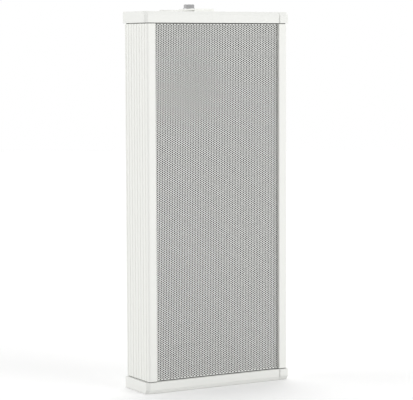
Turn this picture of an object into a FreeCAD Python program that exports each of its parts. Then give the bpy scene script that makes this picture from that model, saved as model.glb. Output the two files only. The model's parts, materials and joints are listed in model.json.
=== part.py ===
import FreeCAD
import Part
import math
import os

# Compact on-wall column loudspeaker on two swivel wall brackets.
# Millimetres. +X to the right along the front, +Y towards the wall, +Z up.
# The origin is the centre of the bottom cap's underside.

# ---- cabinet ----
height = 528.0
cap_width = 232.0
cap_depth = 68.0
cap_height = 16.0
cap_side_overhang = 3.5
cap_front_overhang = 2.0
cap_corner = 4.5
cap_rear_corner = 1.5
cap_bevel_height = 5.5
cap_bevel_depth = 4.0
cap_recess = 1.5
cap_skin = 3.5
cap_rail = 16.0
cap_rib = 2.0
cap_cells_across = 7
cap_cells_deep = 2
cap_front_rail = 12.0
cap_back_rail = 4.0
cap_tongue = 5.0
cap_tongue_thickness = 2.5
cap_back_tongue_thickness = 4.0
cap_tongue_clearance = 2.0
gasket = 1.0
gasket_inset = 1.0
gasket_width = 6.0
wall = 2.5
body_corner = 3.0
stile = 13.0
lip = 1.5
lip_depth = 4.2
flutes = 8
flute_land = 5.8
flute_depth = 0.8
port_radius = 4.0
port_sink = 0.8
port_clearance = 1.0
slip = 0.3

# ---- front sheet, cloth and baffle ----
sheet = 1.0
cloth = 0.5
ledge = 2.0
ledge_reach = 6.0
baffle_setback = 12.0
baffle_thickness = 8.0

# ---- screws ----
cap_screw_radius = 2.0
cap_screw_head_radius = 4.0
cap_screw_head_height = 2.2
cap_screw_bite = 11.0
tap_screw_radius = 1.75
tap_screw_head_radius = 3.5
tap_screw_head_height = 2.2
tap_screw_length = 6.5
fit_gap = 0.05

# ---- full-range drivers: radius and depth behind the baffle's front ----
driver_count = 3
driver_radius = 64.0
flange_thickness = 1.5
basket_throat = 52.6
basket_sheet = 1.2
basket_skirt = 54.2
basket_step = 1.8
basket_window_start = 4.0
basket_window_margin = 2.0
shelf_radius = 37.4
shelf_depth = 17.0
floor_radius = 32.2
floor_depth = 26.0
floor_hole = 20.0
window_half = 13.0
driver_screw_circle = 60.0
top_plate_radius = 32.0
top_plate_thickness = 4.0
magnet_radius = 35.0
magnet_bore = 16.0
magnet_thickness = 10.0
yoke_thickness = 4.0
pole_radius = 12.0
coil_inner = 12.35
coil_outer = 12.9
coil_front = 11.5
coil_length = 23.0
coil_gap = 0.35
cone_rim = 47.6
cone_rim_width = 2.1
cone_paper = 0.6
cone_neck_depth = 12.6
cap_dome_radius = 14.5
cap_dome_height = 4.5
cap_dome_sink = 0.2
roll_radius = 2.9
roll_skin = 0.5
surround_lip = 3.6
roll_offset = 0.15
spider_skin = 0.5
spider_wave = 1.0
spider_waves = 5
spider_edge = 0.6
spider_flat = 1.0

# ---- tweeter ----
tweeter_radius = 33.0
tweeter_face = 3.0
tweeter_mouth = 18.0
tweeter_throat = 13.2
tweeter_throat_depth = 0.8
tweeter_screw_circle = 28.5
tweeter_magnet_radius = 22.0
tweeter_magnet_length = 18.0
tweeter_hole_clearance = 1.0
tweeter_slot_inner = 11.8
tweeter_slot_outer = 12.9
tweeter_slot_depth = 9.0
tweeter_coil_inner = 12.15
tweeter_coil_outer = 12.55
tweeter_coil_length = 5.0
tweeter_dome_height = 3.5
tweeter_dome_skin = 0.4
tweeter_dome_sink = 0.6

# ---- line transformer ----
core_width = 48.0
core_rise = 36.0
core_stack = 18.0
core_limb = 8.0
winding_length = 32.0
winding_slack = 0.3
clamp_sheet = 1.2
clamp_foot = 10.0
clamp_inset = 1.0
screw_head_margin = 1.0
transformer_shift = 2.0

# ---- crossover ----
board_width = 60.0
board_height = 54.0
board_thickness = 1.6
board_standoff = 6.0
board_inset = 4.0
standoff_radius = 3.0
capacitor_radius = 7.0
capacitor_length = 32.0
inductor_radius = 12.0
inductor_bore = 6.0
inductor_height = 10.0
inductor_shift = 1.0

# ---- connections ----
terminal_width = 48.0
terminal_height = 14.0
terminal_depth = 15.0
terminal_wall = 2.0
terminal_ways = 6
terminal_above_gland = 16.0
terminal_screw_margin = 0.5
gland_thread = 8.0
gland_bore = 4.0
gland_hex = 19.0
gland_flange = 5.0
gland_stub = 7.0
gland_cap_length = 13.0
gland_nut_thickness = 4.0
gland_thread_end = 2.0
gland_stub_step = 0.5
gland_mouth = 2.0
gland_from_side = 35.0
lead_radius = 1.0
lead_inset = 12.0
lead_pitch = 8.0

# ---- brackets ----
arm_width = 30.0
arm_thickness = 2.5
arm_lift = 2.2
arm_front = 41.0
arm_screw_gap = 11.0
arm_screw_first = 7.5
arm_screw_radius = 2.5
arm_screw_head_radius = 4.6
arm_screw_head_height = 2.1
arm_screw_length = 10.0
dimple_radius = 6.0
ear_height = 24.0
ear_drop = 40.0
nut_plate_thickness = 3.0
nut_plate_width = 18.0
nut_plate_edge = 6.0
nut_plate_back_edge = 4.5
ear_screw_pitches = 2
pivot_behind = 18.0
bolt_radius = 4.0
bolt_hex = 13.0
bolt_head = 5.3
bolt_length = 21.0
nut_height = 6.5
washer_radius = 8.5
washer_thickness = 1.6
nylon_thickness = 1.5
nylon_inset = 2.0
running_gap = 0.06
tongue_thickness = 3.0
plate_width = 60.0
plate_height = 50.0
plate_thickness = 3.0
plate_beyond = 4.0
plate_corner = 8.0
wall_stand_off = 29.0
wall_hole_radius = 3.25
wall_hole_edge = 9.0
wall_hole_side = 10.0
wall_hole_rows = 24.0

# ---- worked out from the values above ----
front_y = -cap_depth / 2
back_y = cap_depth / 2
body_half = cap_width / 2 - cap_side_overhang
body_front = front_y + cap_front_overhang
inner_half = body_half - wall
inner_back = back_y - wall
body_low = cap_height + gasket
body_high = height - cap_height - gasket
grille_y = body_front + lip_depth + slip
cloth_y = grille_y + sheet
ledge_y = cloth_y + cloth + slip
baffle_y = body_front + baffle_setback
baffle_back = baffle_y + baffle_thickness
port_x = inner_half - port_radius + port_sink
port_front_y = baffle_back + slip + ledge + port_radius + port_clearance
port_back_y = inner_back - port_radius + port_sink
opening_half = body_half - stile
pivot_y = back_y + pivot_behind
wall_y = pivot_y + arm_width / 2 + wall_stand_off

floor_back = floor_depth + basket_sheet
magnet_front = floor_back + top_plate_thickness
yoke_front = magnet_front + magnet_thickness

unit_radii = [driver_radius, tweeter_radius] + [driver_radius] * (driver_count - 1)
free_length = body_high - body_low - 2 * cap_tongue - 2 * sum(unit_radii)
unit_gap = free_length / (len(unit_radii) + 1)

arm_z = height + arm_lift
arm_top = arm_z + arm_thickness
ear_z = ear_height

V = FreeCAD.Vector
UP = V(0, 0, 1)
BACK = V(0, 1, 0)


def unit_heights():
    """Axis height of each unit, from the top: a driver, the tweeter, then the other drivers."""
    z = body_high - cap_tongue
    heights = []
    for radius in unit_radii:
        z -= unit_gap + radius
        heights.append(z)
        z -= radius
    return heights


all_heights = unit_heights()
tweeter_z = all_heights[1]
driver_heights = [all_heights[0]] + all_heights[2:]


def box(x0, x1, y0, y1, z0, z1):
    return Part.makeBox(x1 - x0, y1 - y0, z1 - z0, V(x0, y0, z0))


def rod(radius, start, direction, length):
    return Part.makeCylinder(radius, length, start, direction)


def tube(outer, inner, start, direction, length):
    return rod(outer, start, direction, length).cut(rod(inner, start, direction, length))


def fuse(shapes):
    return shapes[0].multiFuse(shapes[1:]).removeSplitter() if len(shapes) > 1 else shapes[0]


def prism(points, z0, z1):
    """Upright prism on a closed outline of (x, y) points."""
    wire = Part.makePolygon([V(x, y, z0) for x, y in points + points[:1]])
    return Part.Face(wire).extrude(V(0, 0, z1 - z0))


def hexagon(across_flats, start, direction, length):
    """Hexagonal prism centred on start, along a row axis."""
    radius = across_flats / math.sqrt(3)
    corners = [(radius * math.cos(math.radians(60 * i)), radius * math.sin(math.radians(60 * i)))
               for i in range(6)]
    solid = prism(corners, 0, length)
    solid.Placement = FreeCAD.Placement(start, FreeCAD.Rotation(UP, direction))
    return solid


def edges_from(steps):
    """Edges of a closed (r, depth) outline; a step of three pairs is an arc through the middle one."""
    edges = []
    here = steps[-1][-1]
    for step in steps:
        there = step[-1]
        ends = [V(r, d, 0) for r, d in [here] + list(step)]
        if len(step) == 2:
            edges.append(Part.Arc(ends[0], ends[1], ends[2]).toShape())
        else:
            edges.append(Part.makeLine(ends[0], ends[1]))
        here = there
    return edges


def turned(steps, z):
    """Solid of revolution about the unit's axis (parallel to Y) at height z, depth 0 on the baffle."""
    face = Part.Face(Part.Wire(edges_from(steps)))
    solid = face.revolve(V(0, 0, 0), BACK, 360)
    solid.translate(V(0, baffle_y, z))
    return solid


def ring_outline(outer, inner, near, far):
    return [[(outer, near)], [(outer, far)], [(inner, far)], [(inner, near)]]


def diagonal(radius, z):
    """Four places on the diagonals of a circle about a unit's axis."""
    reach = radius / math.sqrt(2)
    return [(sx * reach, z + sz * reach) for sx in (-1, 1) for sz in (-1, 1)]


def along(start, end, run):
    """Point a given run from start towards end."""
    return start + (end - start).normalize() * run


def lead(points):
    """Round wire of straight runs joined by tangent arcs, through a list of vectors."""
    edges = []
    here = points[0]
    for i in range(1, len(points) - 1):
        before, corner, after = points[i - 1], points[i], points[i + 1]
        reach = 0.45 * min((corner - before).Length, (after - corner).Length)
        enter = along(corner, before, reach)
        leave = along(corner, after, reach)
        turn = (corner - before).getAngle(after - corner)
        radius = reach / math.tan(turn / 2)
        middle = along(corner, (enter + leave) * 0.5, radius / math.cos(turn / 2) - radius)
        edges.append(Part.makeLine(here, enter))
        edges.append(Part.Arc(enter, middle, leave).toShape())
        here = leave
    edges.append(Part.makeLine(here, points[-1]))
    path = Part.Wire(edges)
    first = (points[1] - points[0]).normalize()
    circle = Part.Wire(Part.makeCircle(lead_radius, points[0], first))
    return path.makePipeShell([circle], True, False)


# ---- cabinet ----
def port_places():
    return [(sx * port_x, y) for sx in (-1, 1) for y in (port_front_y, port_back_y)]


def extrusion():
    c = body_corner
    outline = [(-body_half + c, body_front), (body_half - c, body_front), (body_half, body_front + c),
               (body_half, back_y), (-body_half, back_y), (-body_half, body_front + c)]
    shell = prism(outline, body_low, body_high)
    hollow = box(-inner_half, inner_half, body_front + wall, inner_back, body_low, body_high)
    mouth = box(-opening_half, opening_half, body_front, body_front + wall, body_low, body_high)
    shell = shell.cut(hollow).cut(mouth)
    added = [shell]
    for side in (-1, 1):
        edge = sorted((side * opening_half, side * (opening_half + lip)))
        added.append(box(edge[0], edge[1], body_front, body_front + lip_depth, body_low, body_high))
        reach = sorted((side * (inner_half - ledge_reach), side * (inner_half + port_sink)))
        for y in (ledge_y, baffle_y - slip - ledge, baffle_back + slip):
            added.append(box(reach[0], reach[1], y, y + ledge, body_low, body_high))
    for x, y in port_places():
        added.append(rod(port_radius, V(x, y, body_low), UP, body_high - body_low))
    solid = fuse(added)
    cuts = [rod(cap_screw_radius + fit_gap, V(x, y, body_low), UP, body_high - body_low)
            for x, y in port_places()]
    cuts += flute_cutters()
    cuts += back_holes()
    return solid.cut(Part.makeCompound(cuts))


def flute_cutters():
    """Shallow round grooves, evenly pitched over the depth of each side."""
    pitch = (cap_depth - cap_front_overhang - body_corner) / flutes
    chord = pitch - flute_land
    radius = (chord * chord / 4 + flute_depth * flute_depth) / (2 * flute_depth)
    offset = body_half - flute_depth + radius
    cutters = []
    for side in (-1, 1):
        for i in range(flutes):
            y = back_y - pitch * (i + 0.5)
            cutters.append(rod(radius, V(side * offset, y, body_low), UP, body_high - body_low))
    return cutters


def back_holes():
    """Holes through the back panel for the cable gland and the ear's two screws."""
    holes = [rod(gland_thread + fit_gap, V(gland_x, inner_back - 1, gland_z), BACK, wall + 2)]
    for z in ear_screw_heights():
        holes.append(rod(arm_screw_radius + fit_gap, V(0, inner_back - 1, z), BACK, wall + 2))
    return holes


def cap():
    """End cap as the top one: underside at z 0, outer face at cap_height."""
    half = cap_width / 2
    c, r = cap_corner, cap_rear_corner
    outline = [(-half + c, front_y), (half - c, front_y), (half, front_y + c), (half, back_y - r),
               (half - r, back_y), (-half + r, back_y), (-half, back_y - r), (-half, front_y + c)]
    solid = prism(outline, 0, cap_height)
    low = cap_height - cap_bevel_height
    wedge = Part.Face(Part.makePolygon([V(-half, front_y, low), V(-half, front_y, cap_height),
                                        V(-half, front_y + cap_bevel_depth, cap_height),
                                        V(-half, front_y, low)])).extrude(V(cap_width, 0, 0))
    cuts = [wedge, box(-opening_half, opening_half, front_y, front_y + cap_recess, 0, cap_height)]
    cuts += cap_pockets()
    for x, y in port_places():
        cuts.append(rod(cap_screw_radius + fit_gap, V(x, y, 0), UP, cap_height))
        cuts.append(countersink(cap_screw_radius, cap_screw_head_radius, cap_screw_head_height,
                                V(x, y, cap_height)))
    solid = solid.cut(Part.makeCompound(cuts))
    return fuse([solid] + cap_tongues())


def countersink(radius, head_radius, head_height, top):
    """Room for a countersunk head whose flat top is at the point given, opening upwards."""
    return Part.makeCone(radius + fit_gap, head_radius + fit_gap, head_height,
                         V(top.x, top.y, top.z - head_height), UP)


def cap_pockets():
    """Cells between the ribs on a cap's inner side."""
    x0, x1 = -cap_width / 2 + cap_rail, cap_width / 2 - cap_rail
    y0, y1 = front_y + cap_front_rail, back_y - cap_back_rail
    step_x = (x1 - x0 + cap_rib) / cap_cells_across
    step_y = (y1 - y0 + cap_rib) / cap_cells_deep
    cells = []
    for i in range(cap_cells_across):
        for j in range(cap_cells_deep):
            x, y = x0 + i * step_x, y0 + j * step_y
            cells.append(box(x, x + step_x - cap_rib, y, y + step_y - cap_rib, 0, cap_height - cap_skin))
    return cells


def cap_tongues():
    """Bars that reach into the extrusion and centre the cap, clear of the screw ports."""
    y1 = inner_back - slip
    reach = cap_width / 2 - cap_rail - cap_side_overhang
    bars = [box(-reach, reach, y1 - cap_back_tongue_thickness, y1, -cap_tongue - gasket, 0)]
    y0 = port_front_y + port_radius + cap_tongue_clearance
    y1 = port_back_y - port_radius - cap_tongue_clearance
    for side in (-1, 1):
        x = sorted((side * (inner_half - slip), side * (inner_half - slip - cap_tongue_thickness)))
        bars.append(box(x[0], x[1], y0, y1, -cap_tongue - gasket, 0))
    return bars


def cap_at_top(solid):
    moved = solid.copy()
    moved.translate(V(0, 0, height - cap_height))
    return moved


def cap_at_bottom(solid):
    moved = solid.mirror(V(0, 0, 0), UP)
    moved.translate(V(0, 0, cap_height))
    return moved


def top_cap():
    cuts = [rod(arm_screw_radius + fit_gap, V(0, y, height - cap_height), UP, cap_height)
            for y in arm_screw_places()]
    return cap_at_top(cap()).cut(Part.makeCompound(cuts))


def gasket_frame(z):
    """Foam frame between a cap and the extrusion's end, open at the front sheet and round the ports."""
    outer = box(-body_half + gasket_inset, body_half - gasket_inset, body_front + gasket_inset,
                back_y - gasket_inset, z, z + gasket)
    inner = box(-inner_half + gasket_width, inner_half - gasket_width, body_front + gasket_width,
                inner_back - gasket_width, z, z + gasket)
    frame = outer.cut(inner)
    holes = [rod(cap_screw_radius + slip, V(x, y, z), UP, gasket) for x, y in port_places()]
    holes.append(box(-opening_half, opening_half, body_front, ledge_y, z, z + gasket))
    holes.append(box(-inner_half, inner_half, grille_y - slip, ledge_y, z, z + gasket))
    for bar in cap_tongues():
        b = bar.BoundBox
        holes.append(box(b.XMin - slip, b.XMax + slip, b.YMin - slip, b.YMax + slip, z, z + gasket))
    return frame.cut(Part.makeCompound(holes))


def cap_screws():
    screws = []
    length = cap_height + gasket + cap_screw_bite
    for x, y in port_places():
        screw = fuse([rod(cap_screw_radius, V(x, y, height - length), UP, length),
                      countersink(cap_screw_radius - fit_gap, cap_screw_head_radius - fit_gap,
                                  cap_screw_head_height, V(x, y, height))])
        screws.append(screw)
        screws.append(screw.mirror(V(0, 0, height / 2), UP))
    return Part.makeCompound(screws)


# ---- front ----
def grille():
    x = inner_half - slip
    return box(-x, x, grille_y, grille_y + sheet, cap_height + slip, height - cap_height - slip)


def grille_cloth():
    x = inner_half - slip - 1
    return box(-x, x, cloth_y, cloth_y + cloth, cap_height + slip, height - cap_height - slip)


def baffle():
    x = inner_half - slip
    solid = box(-x, x, baffle_y, baffle_back, body_low + slip, body_high - slip)
    cuts = []
    for z in driver_heights:
        start = V(0, baffle_y, z)
        cuts.append(rod(driver_radius + slip, start, BACK, flange_thickness))
        cuts.append(rod(basket_skirt + 2 * slip, start, BACK, baffle_thickness))
    start = V(0, baffle_y, tweeter_z)
    cuts.append(rod(tweeter_radius + slip, start, BACK, tweeter_face))
    cuts.append(rod(tweeter_magnet_radius + tweeter_hole_clearance, start, BACK, baffle_thickness))
    for x, y, z in unit_screw_places():
        cuts.append(rod(tap_screw_radius + fit_gap, V(x, baffle_y, z), BACK, tap_screw_length + slip))
    return solid.cut(Part.makeCompound(cuts))


def unit_screw_places():
    """Screws of all units; y is the face that the head sits on."""
    places = []
    for z in driver_heights:
        places += [(x, baffle_y, sz) for x, sz in diagonal(driver_screw_circle, z)]
    places += [(x, baffle_y, sz) for x, sz in diagonal(tweeter_screw_circle, tweeter_z)]
    return places


def tap_screw(x, y, z, towards):
    """Pan-head screw with its head on the plane y, shank along towards (+1 is +Y)."""
    way = V(0, towards, 0)
    head = V(x, y - towards * tap_screw_head_height, z)
    return fuse([rod(tap_screw_head_radius, head, way, tap_screw_head_height),
                 rod(tap_screw_radius, V(x, y, z), way, tap_screw_length)])


def driver_screws():
    return Part.makeCompound([tap_screw(x, y, z, 1) for x, y, z in unit_screw_places()])


# ---- full-range driver ----
def basket(z):
    t = basket_sheet
    wrap = 0.8 * t
    outline = [[(driver_radius, 0)], [(driver_radius, flange_thickness)], [(basket_skirt, flange_thickness)],
               [(shelf_radius + wrap, shelf_depth + t)], [(floor_radius + basket_step + wrap, shelf_depth + t)],
               [(floor_radius + wrap, floor_back)], [(floor_hole, floor_back)], [(floor_hole, floor_depth)],
               [(floor_radius, floor_depth)], [(floor_radius + basket_step, shelf_depth)],
               [(shelf_radius, shelf_depth)], [(basket_throat, t)], [(basket_throat, 0)]]
    solid = turned(outline, z)
    y0 = baffle_y + basket_window_start
    y1 = baffle_y + shelf_depth - basket_window_margin
    r = driver_radius
    w = window_half
    cuts = [box(-r, r, y0, y1, z - w, z + w), box(-w, w, y0, y1, z - r, z + r)]
    for x, sz in diagonal(driver_screw_circle, z):
        cuts.append(rod(tap_screw_radius + fit_gap, V(x, baffle_y, sz), BACK, flange_thickness))
    return solid.cut(Part.makeCompound(cuts))


def top_plate(z):
    hole = coil_outer + coil_gap
    return turned(ring_outline(top_plate_radius, hole, floor_back, magnet_front), z)


def magnet(z):
    return turned(ring_outline(magnet_radius, magnet_bore, magnet_front, yoke_front), z)


def yoke(z):
    start = V(0, baffle_y + floor_back, z)
    pole = rod(pole_radius, start, BACK, yoke_front - floor_back)
    plate = rod(top_plate_radius, V(0, baffle_y + yoke_front, z), BACK, yoke_thickness)
    return fuse([pole, plate])


def voice_coil(z):
    return turned(ring_outline(coil_outer, coil_inner, coil_front, coil_front + coil_length), z)


def cone(z):
    """Paper cone and, glued on its front, the dust cap: two solids."""
    neck = coil_outer + fit_gap
    inner_rim = cone_rim - cone_rim_width
    paper = turned([[(neck, cone_neck_depth)], [(inner_rim, 0)], [(cone_rim, 0)], [(cone_rim, cone_paper)],
                    [(inner_rim, cone_paper)], [(neck, cone_neck_depth + cone_paper)]], z)
    slope = cone_neck_depth / (inner_rim - neck)
    seat = cone_neck_depth - slope * (cap_dome_radius + cone_paper - neck) - cap_dome_sink
    ball = (cap_dome_radius ** 2 + cap_dome_height ** 2) / (2 * cap_dome_height)
    centre = V(0, baffle_y + seat - cap_dome_height + ball, z)
    skin = Part.makeSphere(ball, centre).cut(Part.makeSphere(ball - cone_paper, centre))
    keep = box(-ball, ball, centre.y - ball - 1, baffle_y + seat, z - ball, z + ball)
    return Part.makeCompound([paper, skin.common(keep)])


def surround(z):
    """Half-roll edge from the cone's rim to the basket's flange, bulging forwards."""
    middle = (cone_rim + basket_throat) / 2 + roll_offset
    big, small = roll_radius, roll_radius - roll_skin
    s = roll_skin
    inner = cone_rim - cone_rim_width
    outer = basket_throat + surround_lip
    return turned([[(inner, -s)], [(middle - big, -s)], [(middle, -big - s), (middle + big, -s)],
                   [(outer, -s)], [(outer, 0)], [(middle + small, 0)],
                   [(middle, -small), (middle - small, 0)], [(inner, 0)]], z)


def spider(z):
    """Corrugated disc from the former to the basket's shelf."""
    inner = coil_outer + fit_gap
    outer = shelf_radius - spider_edge
    flat = outer - floor_radius - basket_step + spider_flat
    t = spider_skin
    steps = 2 * spider_waves
    pitch = (outer - flat - inner) / steps
    near = [(inner + i * pitch, shelf_depth - 2 * t - (spider_wave if i % 2 else 0)) for i in range(steps + 1)]
    near += [(outer - flat, shelf_depth - t), (outer, shelf_depth - t)]
    far = [(r, d + t) for r, d in near[:-2]] + [(outer - flat + slip, shelf_depth), (outer, shelf_depth)]
    outline = [[p] for p in near[:-2] + near[-1:]] + [[p] for p in reversed(far)]
    return turned(outline, z)


# ---- tweeter ----
def tweeter_faceplate():
    solid = turned([[(tweeter_radius, 0)], [(tweeter_radius, tweeter_face)], [(tweeter_throat, tweeter_face)],
                    [(tweeter_throat, tweeter_face - tweeter_throat_depth)], [(tweeter_mouth, 0)]], tweeter_z)
    holes = [rod(tap_screw_radius + fit_gap, V(x, baffle_y, z), BACK, tweeter_face)
             for x, z in diagonal(tweeter_screw_circle, tweeter_z)]
    return solid.cut(Part.makeCompound(holes))


def tweeter_magnet():
    start = V(0, baffle_y + tweeter_face, tweeter_z)
    body = rod(tweeter_magnet_radius, start, BACK, tweeter_magnet_length)
    return body.cut(tube(tweeter_slot_outer, tweeter_slot_inner, start, BACK, tweeter_slot_depth))


def tweeter_dome():
    """Soft dome with its coil former, one bonded piece."""
    rim = tweeter_coil_outer
    rise = tweeter_dome_height
    ball = (rim * rim + rise * rise) / (2 * rise)
    base = tweeter_face - tweeter_dome_sink
    t = tweeter_dome_skin
    centre = V(0, baffle_y + base - rise + ball, tweeter_z)
    skin = Part.makeSphere(ball, centre).cut(Part.makeSphere(ball - t, centre))
    keep = rod(rim, V(0, centre.y - ball - 1, tweeter_z), BACK, rise + 1)
    coil = tube(rim, tweeter_coil_inner, V(0, baffle_y + base - t, tweeter_z), BACK, tweeter_coil_length)
    return fuse([skin.common(keep), coil])


# ---- line transformer, on the back panel beside the tweeter ----
transformer_x = (tweeter_magnet_radius + inner_half) / 2 - transformer_shift
core_y = inner_back - core_rise


def transformer_core():
    x, z = transformer_x, tweeter_z
    half, stack = core_width / 2, core_stack / 2
    solid = box(x - half, x + half, core_y, inner_back, z - stack, z + stack)
    for side in (-1, 1):
        limb = sorted((x + side * core_limb, x + side * (half - core_limb)))
        solid = solid.cut(box(limb[0], limb[1], core_y + core_limb, inner_back - core_limb,
                              z - stack, z + stack))
    return solid


def transformer_winding():
    x, z = transformer_x, tweeter_z
    s = winding_slack
    half = core_width / 2 - core_limb - s
    reach = winding_length / 2
    y0, y1 = core_y + core_limb + s, inner_back - core_limb - s
    solid = box(x - half, x + half, y0, y1, z - reach, z + reach)
    leg = box(x - core_limb - s, x + core_limb + s, y0, y1, z - core_stack / 2 - s, z + core_stack / 2 + s)
    return solid.cut(leg)


def transformer_clamp():
    """Channel over the core's front and sides, with a foot each side on the back panel."""
    x, z = transformer_x, tweeter_z
    half, stack = core_width / 2, core_stack / 2 - clamp_inset
    t = clamp_sheet
    channel = box(x - half - t, x + half + t, core_y - t, inner_back, z - stack, z + stack)
    channel = channel.cut(box(x - half, x + half, core_y, inner_back, z - stack, z + stack))
    feet = []
    holes = []
    for side in (-1, 1):
        foot = sorted((x + side * half, x + side * (half + t + clamp_foot)))
        foot = box(foot[0], foot[1], inner_back - t, inner_back, z - stack, z + stack)
        feet.append(foot.cut(box(x - half, x + half, inner_back - t, inner_back, z - stack, z + stack)))
        holes.append(rod(tap_screw_radius + fit_gap, V(clamp_screw_x(side), core_y, z), BACK, core_rise))
    return fuse([channel] + feet).cut(Part.makeCompound(holes))


def clamp_screw_x(side):
    reach = core_width / 2 + clamp_sheet + clamp_foot
    return transformer_x + side * (reach - tap_screw_head_radius - screw_head_margin)


# ---- crossover, on the other side of the tweeter ----
board_x = -(tweeter_magnet_radius + inner_half) / 2
board_y = inner_back - board_standoff - board_thickness


def board_corners():
    reach_x, reach_z = board_width / 2 - board_inset, board_height / 2 - board_inset
    return [(board_x + sx * reach_x, tweeter_z + sz * reach_z) for sx in (-1, 1) for sz in (-1, 1)]


def crossover_board():
    solid = box(board_x - board_width / 2, board_x + board_width / 2, board_y, board_y + board_thickness,
                tweeter_z - board_height / 2, tweeter_z + board_height / 2)
    holes = [rod(tap_screw_radius + fit_gap, V(x, board_y, z), BACK, board_thickness)
             for x, z in board_corners()]
    return solid.cut(Part.makeCompound(holes))


def board_standoffs():
    return Part.makeCompound([tube(standoff_radius, tap_screw_radius + fit_gap,
                                   V(x, board_y + board_thickness, z), BACK, board_standoff)
                              for x, z in board_corners()])


def crossover_capacitor():
    start = V(board_x - capacitor_length / 2, board_y - capacitor_radius, tweeter_z + board_height / 4)
    return rod(capacitor_radius, start, V(1, 0, 0), capacitor_length)


def crossover_inductor():
    start = V(board_x, board_y - inductor_height, tweeter_z - board_height / 4 + inductor_shift)
    return tube(inductor_radius, inductor_bore, start, BACK, inductor_height)


# ---- cable gland and terminals, between the two lower drivers ----
gland_x = inner_half - gland_from_side
gland_z = (all_heights[-2] + all_heights[-1]) / 2


def cable_gland():
    inside = gland_nut_thickness + gland_thread_end
    bore_length = inside + wall + gland_flange + gland_stub
    start_y = inner_back - inside
    stub_start = V(gland_x, back_y + gland_flange, gland_z)
    parts = [rod(gland_thread, V(gland_x, start_y, gland_z), BACK, inside + wall),
             hexagon(gland_hex, V(gland_x, back_y, gland_z), BACK, gland_flange),
             rod(gland_thread - gland_stub_step, stub_start, BACK, gland_stub)]
    return fuse(parts).cut(rod(gland_bore, V(gland_x, start_y, gland_z), BACK, bore_length))


def gland_cap():
    y = back_y + gland_flange + slip
    outer = hexagon(gland_hex, V(gland_x, y, gland_z), BACK, gland_stub)
    taper = Part.makeCone(gland_hex / 2 - slip, gland_bore + gland_mouth, gland_cap_length - gland_stub,
                          V(gland_x, y + gland_stub, gland_z), BACK)
    solid = fuse([outer, taper])
    inside = rod(gland_thread - gland_stub_step + fit_gap, V(gland_x, y, gland_z), BACK, gland_stub)
    bore = rod(gland_bore, V(gland_x, y, gland_z), BACK, gland_cap_length)
    return solid.cut(inside).cut(bore)


def gland_locknut():
    start = V(gland_x, inner_back - gland_nut_thickness, gland_z)
    nut = hexagon(gland_hex, start, BACK, gland_nut_thickness)
    return nut.cut(rod(gland_thread + fit_gap, start, BACK, gland_nut_thickness))


terminal_z = gland_z + terminal_above_gland
terminal_y = inner_back - terminal_depth


def terminal_block():
    """Open-fronted row of cells, one to each wire, with a screw ear at both ends."""
    x0, x1 = gland_x - terminal_width / 2, gland_x + terminal_width / 2
    ear = 2 * tap_screw_head_radius + screw_head_margin
    solid = box(x0, x1, terminal_y, inner_back, terminal_z, terminal_z + terminal_height)
    cell = (terminal_width - 2 * ear - (terminal_ways + 1) * terminal_wall) / terminal_ways
    cuts = []
    for i in range(terminal_ways):
        x = x0 + ear + terminal_wall + i * (cell + terminal_wall)
        cuts.append(box(x, x + cell, terminal_y, inner_back - 2 * terminal_wall,
                        terminal_z + terminal_wall, terminal_z + terminal_height - terminal_wall))
    for x in (x0, x1 - ear):
        cuts.append(box(x, x + ear, terminal_y, inner_back - 2 * terminal_wall, terminal_z,
                        terminal_z + terminal_height))
    for x in terminal_screw_places():
        cuts.append(rod(tap_screw_radius + fit_gap, V(x, terminal_y, terminal_middle), BACK,
                        terminal_depth))
    return solid.cut(Part.makeCompound(cuts))


terminal_middle = terminal_z + terminal_height / 2


def terminal_screw_places():
    reach = terminal_width / 2 - tap_screw_head_radius - terminal_screw_margin
    return [gland_x - reach, gland_x + reach]


def inner_screws():
    """Screws of the transformer, the board and the terminal block, driven towards the back panel."""
    places = [(clamp_screw_x(side), inner_back - clamp_sheet, tweeter_z) for side in (-1, 1)]
    places += [(x, board_y, z) for x, z in board_corners()]
    places += [(x, inner_back - 2 * terminal_wall, terminal_middle) for x in terminal_screw_places()]
    screws = []
    for x, y, z in places:
        shank = inner_back - y
        screws.append(fuse([rod(tap_screw_head_radius, V(x, y - tap_screw_head_height, z), BACK,
                                tap_screw_head_height), rod(tap_screw_radius, V(x, y, z), BACK, shank)]))
    return Part.makeCompound(screws)


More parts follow.
